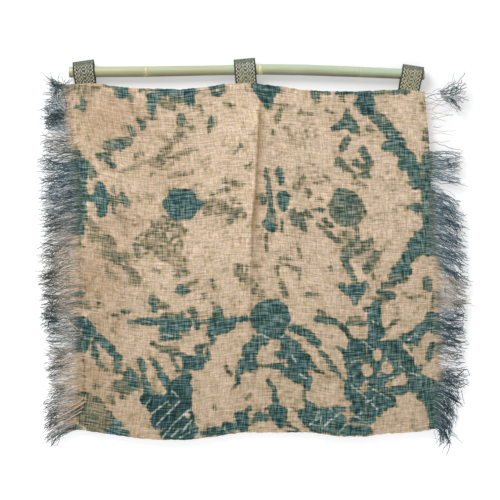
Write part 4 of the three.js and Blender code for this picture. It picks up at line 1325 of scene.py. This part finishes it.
# One hair to each strand, from a ring of it and at first along it.
def layHairs(strands, random):
    paths, _, strandShades = strands
    sizes = fringe["hairs"]
    count, rings = paths.shape[:2]
    strand = np.arange(count)
    ring = np.clip((random.beta(*sizes["place"], count) * (rings - 1)).astype(int), 2, rings - 2)
    start = paths[strand, ring]
    heading = paths[strand, ring + 1] - start
    angle = np.arctan2(heading[:, 2], heading[:, 0]) + random.normal(0, sizes["turn"], count)
    along = np.linspace(0, 1, sizes["rings"])[None, :]
    curl = random.normal(0, sizes["curl"], (count, 1)) * along
    wave = random.uniform(*sizes["wave"], (count, 1))
    phase = random.random((count, 1)) * 2 * np.pi
    curl = curl + wave * np.sin(phase + along * random.uniform(*sizes["waves"], (count, 1)))
    direction = angle[:, None] + curl
    step = random.uniform(*sizes["length"], (count, 1)) / (sizes["rings"] - 1)
    run = np.stack([np.cos(direction), np.zeros_like(direction), np.sin(direction)], -1) * step[..., None]
    lines = start[:, None, :] + np.cumsum(run, axis=1) - run[:, :1]
    lines[:, :, 1] += random.normal(0, sizes["depth"], (count, 1)) * along
    thick, thinner = sizes["taper"]
    radii = sizes["radius"] * (thick - thinner * along) * random.uniform(*sizes["vary"], (count, 1))
    tone = strandShades["tint"][strand, -1] + random.normal(0, sizes["toneSpread"], count)
    shades = {"dyed": np.zeros_like(radii), "tint": tone[:, None], "worn": np.ones_like(radii)}
    return lines, radii, shades


def joinPieces(name, parts, node):
    bm = bmesh.new()
    for part in parts:
        bm.from_mesh(part.data)
    material = parts[0].data.materials[0]
    mesh = bpy.data.meshes.new(name)
    bm.to_mesh(mesh)
    bm.free()
    for part in parts:
        data = part.data
        bpy.data.objects.remove(part)
        bpy.data.meshes.remove(data)
    return addPiece(name, mesh, material, [node])


fringeLeft = makeFringe("fringeEndsLeft", -1, "fringe_left", 5)
fringeRight = makeFringe("fringeEndsRight", 1, "fringe_right", 9)
print("fringes:", len(fringeLeft.data.polygons), len(fringeRight.data.polygons), "faces")


# Bamboo rod

# Each ramp runs from dark olive to pale: the rod's underside takes the dark end as painted shade, its top the
# pale end as painted light.
bambooColours = {
    "yellow": [(0.0, (104, 90, 60)), (0.08, (124, 112, 76)), (0.25, (142, 138, 98)), (0.45, (156, 157, 120)),
               (0.75, (166, 169, 138)), (1.0, (174, 179, 150))],
    "green": [(0.0, (92, 86, 68)), (0.08, (112, 112, 90)), (0.25, (138, 148, 118)), (0.45, (156, 171, 142)),
              (0.75, (171, 186, 160)), (1.0, (176, 190, 168))],
    "knuckle": (118, 98, 66),
    "paleRing": (206, 196, 150),
}


def makeBambooFinish():
    material, tree, shader = startFinish("bambooSkin", 0.42, 0.45)
    shader.inputs["Coat Weight"].default_value = 0.25
    shader.inputs["Coat Roughness"].default_value = 0.3
    place = readPlace(tree)
    toRight = addNode(tree, "SeparateXYZ", {0: place}).outputs[0]
    fibre = noiseAlong(tree, place, (12, 900, 900), 3.0)
    patch = noiseAlong(tree, place, (14, 60, 60), 3.0)
    # the cane is yellower to the left and greener to the right; the olive underside and pale green top are
    # painted shade beneath and painted light on top
    level = calc(tree, "MULTIPLY_ADD", patch, 0.3, calc(tree, "SUBTRACT", readAttribute(tree, "upper"), 0.15))
    level = calc(tree, "MULTIPLY_ADD", fibre, 0.16, calc(tree, "SUBTRACT", level, 0.08))
    green = calc(tree, "MULTIPLY_ADD", toRight, 1.4, calc(tree, "MULTIPLY_ADD", patch, 0.5, 0.2))
    yellow, fresh = [addRamp(tree, level, bambooColours[name]) for name in ("yellow", "green")]
    colour = blendColours(tree, mapValues(tree, green, 0.1, 0.9), yellow, fresh)
    for ring in ("knuckle", "paleRing"):
        colour = blendColours(tree, readAttribute(tree, ring), colour, sRGB(*bambooColours[ring]))
    light = calc(tree, "MULTIPLY_ADD", fibre, 0.3, 0.85)
    tree.links.new(shadeBy(tree, colour, light), shader.inputs["Base Color"])
    addBump(tree, shader, fibre, 0.00015)
    return material


def bells(x, rows):
    return sum(height * bell(x - place, spread) for height, place, spread in rows)


def knuckleProfile(x):
    rise, stain, pale = (np.zeros_like(x) for _ in range(3))
    amount, spread = rodSizes["paleRing"]
    for middle, share in zip(rodSizes["knuckles"], rodSizes["prominence"]):
        rise += share * bells(x - middle, rodSizes["swell"])
        stain += share * bells(x - middle, rodSizes["stain"])
        pale += share ** 1.5 * amount * bell(x - middle, spread)
    return rise, np.clip(stain, 0, 1), pale


# A sawn end's rings, from the floor of its hollow to the skin: how far from the middle, and radius.
def rodEnd(place):
    half, radius = rodSizes["halfLength"], alongTable(rodSizes["line"], place, 2)
    floor, inside = half - rodSizes["hollow"], radius - rodSizes["wall"]
    inner, outer = rodSizes["chamfer"]
    return [(floor, rodSizes["floor"]), (floor, inside), (half - inner, inside), (half, inside + inner),
            (half, radius - outer)]


def makeRod():
    half, reach = rodSizes["halfLength"], rodSizes["near"]
    close = np.arange(-reach, reach + 0.1, rodSizes["closeStep"])
    knuckles = [middle + step for middle in rodSizes["knuckles"] for step in close]
    stations = np.array(sorted(set(np.linspace(-half + 1, half - 1, rodSizes["stations"])) | set(knuckles)))
    rise, stain, pale = knuckleProfile(stations)
    radius = alongTable(rodSizes["line"], stations, 2) + rise
    radius += drift(stations, stations * 0, rodSizes["uneven"], 61)
    left, right = rodEnd(-half), rodEnd(half)
    rings = [(-x, size) for x, size in left] + list(zip(stations, radius)) + right[::-1]
    x, ring = np.array(rings).T
    line = np.stack([x, np.zeros_like(x), alongTable(rodSizes["line"], x)], axis=-1)[None]
    mesh, number, angle = growRod("bambooRod", line, ring)
    ends = np.zeros(len(left))
    for name, values in (("knuckle", stain), ("paleRing", pale)):
        writeVerts(mesh, name, np.concatenate([ends, values, ends])[number])
    # how far round towards the top, which drives the painted light on top and the painted shade beneath
    writeVerts(mesh, "upper", 0.5 + 0.5 * np.sin(angle))
    return addPiece("bambooRod", mesh, makeBambooFinish(), ["rod"])


def growRod(name, line, ring):
    straight = line.copy()
    straight[0, :, 0] = np.linspace(-1, 1, line.shape[1])  # the rings' frames, free of the turned-in ends
    mesh, _, number, angle = growTubes(name, straight, ring[None], rodSizes["sides"])
    x, z = line[0, number, 0], line[0, number, 2]
    placeVerts(mesh, x, ring[number] * np.cos(angle), z + ring[number] * np.sin(angle))
    turnOutwards(mesh)
    return mesh, number, angle


makeRod()
print("rod turned")


# Jacquard ribbon loops. One repeat of the weave, from the ribbon's edge to its middle: # dark green,
# : and + grey greens, . cream.
jacquard = [
    "#.#+.#.:",
    "#.#.:.#.",
    "##.+.#.+",
    "#.#:.+.#",
    "#.#.#.:.",
    "##.+.#.+",
]
jacquardTones = {"#": 1.05, ":": 0.8, "+": 0.6, ".": -0.05}
ribbonColours = {
    "upper": [(0.0, (196, 192, 176)), (0.4, (150, 150, 134)), (0.7, (92, 100, 86)), (1.0, (48, 60, 54))],
    "lower": [(0.0, (200, 192, 162)), (0.4, (150, 146, 118)), (0.7, (96, 100, 78)), (1.0, (48, 58, 48))],
    "change": (0.008, -0.022),  # heights, in metres, between which the upper colours give way to the lower
}


def makeRibbonFinish():
    material, tree, shader = startFinish("ribbonJacquard", 0.7, 0.3)
    threads = addNode(tree, "UVMap", {}, uv_map="threads").outputs[0]
    tone = readAttribute(tree, "tone")
    grain = addNode(tree, "TexNoise", {"Vector": threads, "Scale": 1500.0, "Detail": 2.0}).outputs[0]
    tone = calc(tree, "ADD", tone, calc(tree, "MULTIPLY_ADD", grain, 0.3, -0.15))
    level = addNode(tree, "SeparateXYZ", {0: readPlace(tree)}).outputs[2]
    upper, lower = [addRamp(tree, tone, ribbonColours[name]) for name in ("upper", "lower")]
    colour = blendColours(tree, mapValues(tree, level, *ribbonColours["change"]), upper, lower)
    tree.links.new(colour, shader.inputs["Base Color"])
    ribs = addNode(tree, "TexWave", {"Vector": threads, "Scale": 620.0}, bands_direction="Y").outputs[1]
    height = calc(tree, "SUBTRACT", calc(tree, "MULTIPLY", ribs, 0.5), tone)
    addBump(tree, shader, height, 0.0004)
    return material


ribbonFinish = makeRibbonFinish()


def ribbonSection(inner, tab, lowestPeak, tailEnd):
    middle = inner + ribbonSizes["thickness"] / 2
    above = math.asin(inner / (lowestPeak - ribbonSizes["thickness"]))
    below = math.asin(inner / tab["meet"])
    layer = ribbonSizes["thickness"] / 2
    seam = -(middle - layer * math.cos(below)) / math.sin(below)
    tip = inner / math.sin(above) + layer
    arc = [(-middle * math.cos(angle), middle * math.sin(angle)) for angle in np.linspace(-below, above, 17)]
    front = [(-layer, -tailEnd), (-layer, seam), *arc, (-0.35, tip - 0.3), (0, tip)]
    back = [(-y, z) for y, z in reversed(front[:-1])]
    section = np.array(front + back)
    return section, middle * math.sin(above), tip


def makeRibbon(name, tab):
    half = ribbonSizes["width"] / 2
    radii = [alongTable(rodSizes["line"], tab["x"] + aside, 2) for aside in (-half, half)]
    rise = abs(tab["slope"]) * half
    drop = alongTable(rodSizes["line"], tab["x"]) - alongTable(outline["top"], tab["x"])
    section, legTop, peak = ribbonSection(
        max(radii) + ribbonSizes["gap"], tab, tab["peak"] - rise, drop + ribbonSizes["tail"])
    run = np.concatenate([[0], np.cumsum(np.linalg.norm(np.diff(section, axis=0), axis=1))])
    columns = round(ribbonSizes["width"] / ribbonSizes["cell"])
    rows = round(run[-1] / ribbonSizes["cell"])
    mesh, across, up = makeGrid(name, columns, rows)
    length = up * run[-1]
    y = np.interp(length, run, section[:, 0])
    height = np.interp(length, run, section[:, 1])
    along = (across - 0.5) * ribbonSizes["width"]
    share = np.maximum(0, (height - legTop) / (peak - legTop))
    height = height + share * (rise + tab["slope"] * along)
    x = tab["x"] + along + tab["lean"] * height
    ripple = drift(along, length, ribbonSizes["ripple"], 71)
    placeVerts(mesh, x, y + ripple, alongTable(rodSizes["line"], x) + height)
    writeUV(mesh, "threads", along * mm, length * mm)
    marks = len(jacquard[0])
    column = np.clip(((half - np.abs(along)) / half * marks).astype(int), 0, marks - 1)
    row = (length / ribbonSizes["stitch"]).astype(int) % len(jacquard)
    tones = np.array([[jacquardTones[mark] for mark in line] for line in jacquard])[row, column]
    contrast = np.where(column < ribbonSizes["border"], 1, ribbonSizes["middleContrast"])
    tones = 0.5 + (tones - 0.5) * contrast + tab["tone"]
    tones += drift(along, length, ribbonSizes["uneven"], 72)
    crown = peak + tab["slope"] * along
    foldFrom, foldTo = ribbonSizes["fold"]
    fold = smoothStep(height, crown - foldFrom, crown - foldTo)
    writeVerts(mesh, "tone", tones + (ribbonSizes["foldTone"] - tones) * ribbonSizes["foldShare"] * fold)
    ribbon = addPiece(name, mesh, ribbonFinish, [tab["node"]])
    solid = ribbon.modifiers.new("cloth", "SOLIDIFY")
    solid.thickness, solid.offset = ribbonSizes["sheet"] * mm, 0
    return ribbon


ribbons = [makeRibbon("ribbonTab" + name, tab) for name, tab in ribbonSizes["tabs"].items()]
print("ribbons folded")


# Wall, floor and light, in metres

studio = {
    "wallY": 0.0145,
    "wallSize": 4.0,
    "wallDiffuse": 0.6,
    "wallGlow": (0.0, -0.7, 0.34, 0.6),  # from one height to another, from one strength to another
    "glowColour": (0.98, 0.985, 1, 1),
    "floorZ": -1.6,
    "floorColour": (0.97, 0.97, 0.975, 1),
    "sky": 0.62,
    "lamp": {"place": (-1.3, -1.9, 1.5), "target": (0, 0, -0.33), "size": 1.3, "watts": 74},
}


def makeBackdrop(name, corner, material):
    mesh, across, up = makeGrid(name, 2, 2)
    corner(mesh, (across - 0.5) * studio["wallSize"] / mm, (up - 0.5) * studio["wallSize"] / mm)
    backdrop = bpy.data.objects.new(name, mesh)
    bpy.context.scene.collection.objects.link(backdrop)
    mesh.materials.append(material)
    backdrop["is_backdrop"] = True


def makeWallFinish():
    material, tree, shader = startFinish("whiteWall", 0.9, 0.0)
    shader.inputs["Base Color"].default_value = (studio["wallDiffuse"],) * 3 + (1,)
    shader.inputs["Emission Color"].default_value = studio["glowColour"]
    height = addNode(tree, "SeparateXYZ", {0: readPlace(tree)}).outputs[2]
    tree.links.new(mapValues(tree, height, *studio["wallGlow"]), shader.inputs["Emission Strength"])
    # the wall shows only to the camera and only from the front
    facing = addNode(tree, "NewGeometry", {}).outputs["Backfacing"]
    seen = addNode(tree, "LightPath", {}).outputs["Is Camera Ray"]
    shown = calc(tree, "MULTIPLY", seen, calc(tree, "SUBTRACT", 1.0, facing))
    clear = addNode(tree, "BsdfTransparent", {})
    mix = addNode(tree, "MixShader", {0: shown, 1: clear.outputs[0], 2: shader.outputs[0]})
    tree.links.new(mix.outputs[0], tree.nodes["Material Output"].inputs[0])
    return material


def aimAt(place, target):
    return (Vector(target) - Vector(place)).to_track_quat("-Z", "Y").to_euler()


def addLamp(place, target, size, watts):
    light = bpy.data.lights.new("softBox", "AREA")
    light.shape, light.size, light.size_y = "RECTANGLE", size, size
    light.energy = watts
    lamp = bpy.data.objects.new("softBox", light)
    lamp.location = place
    lamp.rotation_euler = aimAt(lamp.location, target)
    bpy.context.scene.collection.objects.link(lamp)


def makeStudio():
    floorFinish, _, shader = startFinish("paleFloor", 0.9, 0.0)
    shader.inputs["Base Color"].default_value = studio["floorColour"]
    toWall = lambda mesh, x, z: placeVerts(mesh, x, np.full_like(x, studio["wallY"] / mm), z)
    toFloor = lambda mesh, x, y: placeVerts(mesh, x, y, np.full_like(x, studio["floorZ"] / mm))
    makeBackdrop("backWall", toWall, makeWallFinish())
    makeBackdrop("floor", toFloor, floorFinish)
    world = bpy.data.worlds.new("studioLight")
    bpy.context.scene.world = world
    world.use_nodes = True
    background = world.node_tree.nodes["Background"]
    background.inputs[0].default_value = (1, 1, 1, 1)
    background.inputs[1].default_value = studio["sky"]
    addLamp(**studio["lamp"])
    bpy.context.scene.view_settings.view_transform = "Standard"


makeStudio()
print("studio lit")

{"cad": cadBox, "visual": [list(corner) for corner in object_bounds()]}
